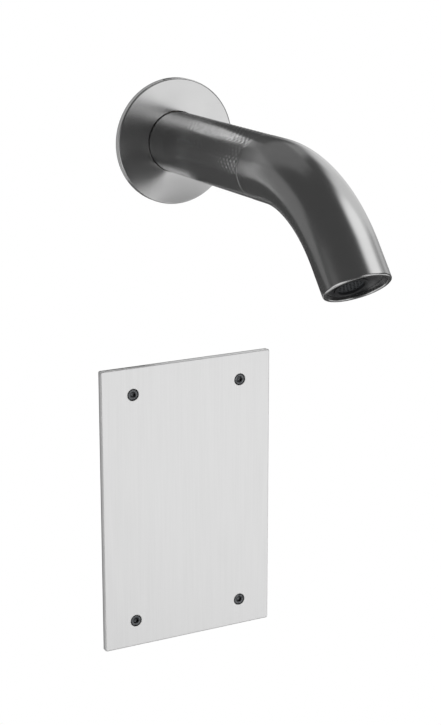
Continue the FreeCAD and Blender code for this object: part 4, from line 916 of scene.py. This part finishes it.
# Small cards that only metal mirrors, in millimetres: name, corners and brightness.
# These stand in the plane of the wall: breadth and height
WALL_CARD_Y = -0.1
WALL_CARDS = (
    ("root_card", (
        (-60, -270), (-47.5, -270), (-47.5, -112), (60, -100), (60, -18), (-60, -18),
    ), 0.07),
    ("edge_card", ((-47, -262), (-41.6, -262), (-41.6, -106), (-47, -106)), 0.42),
    ("top_card", ((-41.6, -108.6), (52.4, -108.6), (52.4, -103), (-41.6, -103)), 0.75),
    ("under_card", ((-60, -330), (80, -330), (80, -262), (-60, -262)), 0.07),
    ("side_card", ((53, -262), (80, -262), (80, -100), (53, -100)), 0.07),
    ("sleeve_strip", ((-16, 31), (8, 31), (16, 42), (12, 50), (-20, 50), (-20, 40)), 0.54),
    ("sleeve_end_strip", ((-20, 50), (12, 50), (8, 61), (-16, 61)), 0.88),
    ("shoulder_card", (
        (-26, 67), (-26, 74), (-100, 74), (-72, 30), (-62, 37), (-50, 51), (-37, 61),
    ), 0.27),
    ("crown_card", ((-100, 74.5), (52, 74.5), (52, 330), (-100, 330)), 0.17),
    ("brow_card", ((52, 74.5), (95, 85), (100, 150), (52, 220)), 0.27),
    ("near_edge_card", ((-70, -30), (-76, -36), (-76, 36), (-71.5, 29.5)), 0.85),
    ("near_card", ((-76, -36), (-84, -44), (-84, 45), (-76, 36)), 0.42),
    ("far_card", ((-84, -60), (-240, -90), (-240, 90), (-84, 70)), 0.19),
)
# These hang under the spout, square to the wall, for the flange alone: depth and height
SPOUT_CARDS = (
    ("shade_card", (
        (-13, -14.6), (-96, -14.6), (-96, -37), (-60, -32), (-36, -26), (-22, -19.5),
    ), 0.07),
    ("half_shade_card", (
        (-96, -37), (-60, -32), (-36, -26), (-22, -19.5), (-22, -24.5), (-36, -31.5),
        (-60, -38), (-96, -43),
    ), 0.65),
)
# These stand before the flange's lower half and the sleeve's root and show only to the
# wall's side: the depth of their plane, breadth and height
FRONT_CARDS = (
    ("dim_card", -80, ((25, -27), (62, -27), (62, -43), (25, -43)), 0.60),
    ("low_card", -80, ((22, -43), (62, -43), (62, -60), (22, -60)), 0.25),
    ("wedge_card", -60, ((-27, -16), (3, -16), (3, -42), (-27, -42)), 0.04),
)
# A narrow arc beside the flange, which its rim mirrors: radii, angles and brightness
RIM_RADII = (30.2, 31.8)
RIM_ANGLES = (100, 262)
RIM_STEPS = 40
RIM_LEVEL = 0.45


def make_card(name, points, strength, faces=None):
    """A flat card that only metal mirrors: one face through its points, or the faces given."""
    data = bpy.data.meshes.new(name)
    data.from_pydata([Vector(point) * MM for point in points], [], faces or [range(len(points))])
    data.materials.append(plain(name + "_glow", WHITE, strength))
    card = linked(name, data)
    hide_from(card, "camera", "diffuse", "transmission", "shadow")
    return card


def make_small_cards():
    """Cards close to the part, which shape what its flange, plate and sleeve mirror."""
    for name, corners, strength in WALL_CARDS:
        make_card(name, [(x, WALL_CARD_Y, z) for x, z in corners], strength)
    for name, corners, strength in SPOUT_CARDS:
        make_card(name, [(0, y, z) for y, z in corners], strength)
    for name, y, corners, strength in FRONT_CARDS:
        card = make_card(name, [(x, y, z) for x, z in corners], strength)
        clear_behind(card.data.materials[0])
    start, end = RIM_ANGLES
    arc = []
    for step in range(RIM_STEPS + 1):
        turn = math.radians(start + (end - start) * step / RIM_STEPS)
        for radius in RIM_RADII:
            arc.append((radius * math.cos(turn), WALL_CARD_Y, radius * math.sin(turn)))
    faces = [(2 * i, 2 * i + 1, 2 * i + 3, 2 * i + 2) for i in range(RIM_STEPS)]
    make_card("rim_card", arc, RIM_LEVEL, faces)


# The world's strength for matt surfaces
SOFT_LIGHT = 0.65


def make_world():
    """White to the eye, in metal and through glass; a soft even light on matt surfaces."""
    world = bpy.data.worlds.new("studio")
    bpy.context.scene.world = world
    world.use_nodes = True
    tree = world.node_tree
    white = tree.nodes["Background"]
    white.inputs["Color"].default_value = linear(WHITE)
    white.inputs["Strength"].default_value = 1.0
    soft = add(tree, "ShaderNodeBackground", Color=linear(WHITE), Strength=SOFT_LIGHT)
    ray = add(tree, "ShaderNodeLightPath")
    direct = add(
        tree, "ShaderNodeMath",
        {0: ray.outputs["Is Camera Ray"], 1: ray.outputs["Is Glossy Ray"]}, operation="MAXIMUM",
    )
    seen = add(
        tree, "ShaderNodeMath",
        {0: direct.outputs["Value"], 1: ray.outputs["Is Transmission Ray"]}, operation="MAXIMUM",
    )
    mix = add(tree, "ShaderNodeMixShader", {
        "Fac": seen.outputs["Value"],
        1: soft.outputs["Background"],
        2: white.outputs["Background"],
    })
    tree.links.new(mix.outputs["Shader"], tree.nodes["World Output"].inputs["Surface"])


# Lamps: place and size in metres, power in watts
LAMPS = (
    ("key_lamp", (-0.9, -1.3, 1.1), 0.9, 9.0),
    ("fill_lamp", (1.4, -1.0, 0.3), 0.8, 5.0),
    ("back_lamp", (0.8, 1.4, 0.9), 0.9, 9.0),
)


def make_lamps():
    """Three soft lamps that light matt surfaces and aren't mirrored."""
    for name, place, size, power in LAMPS:
        light = bpy.data.lights.new(name, "AREA")
        light.size = size
        light.energy = power
        lamp = linked(name, light)
        lamp.location = place
        hide_from(lamp, "glossy")
        aim(lamp, Vector((0, -40, -120)) * MM)


make_wall()
make_floor()
make_cards()
make_small_cards()
make_world()
make_lamps()
bpy.context.scene.view_settings.view_transform = "Standard"
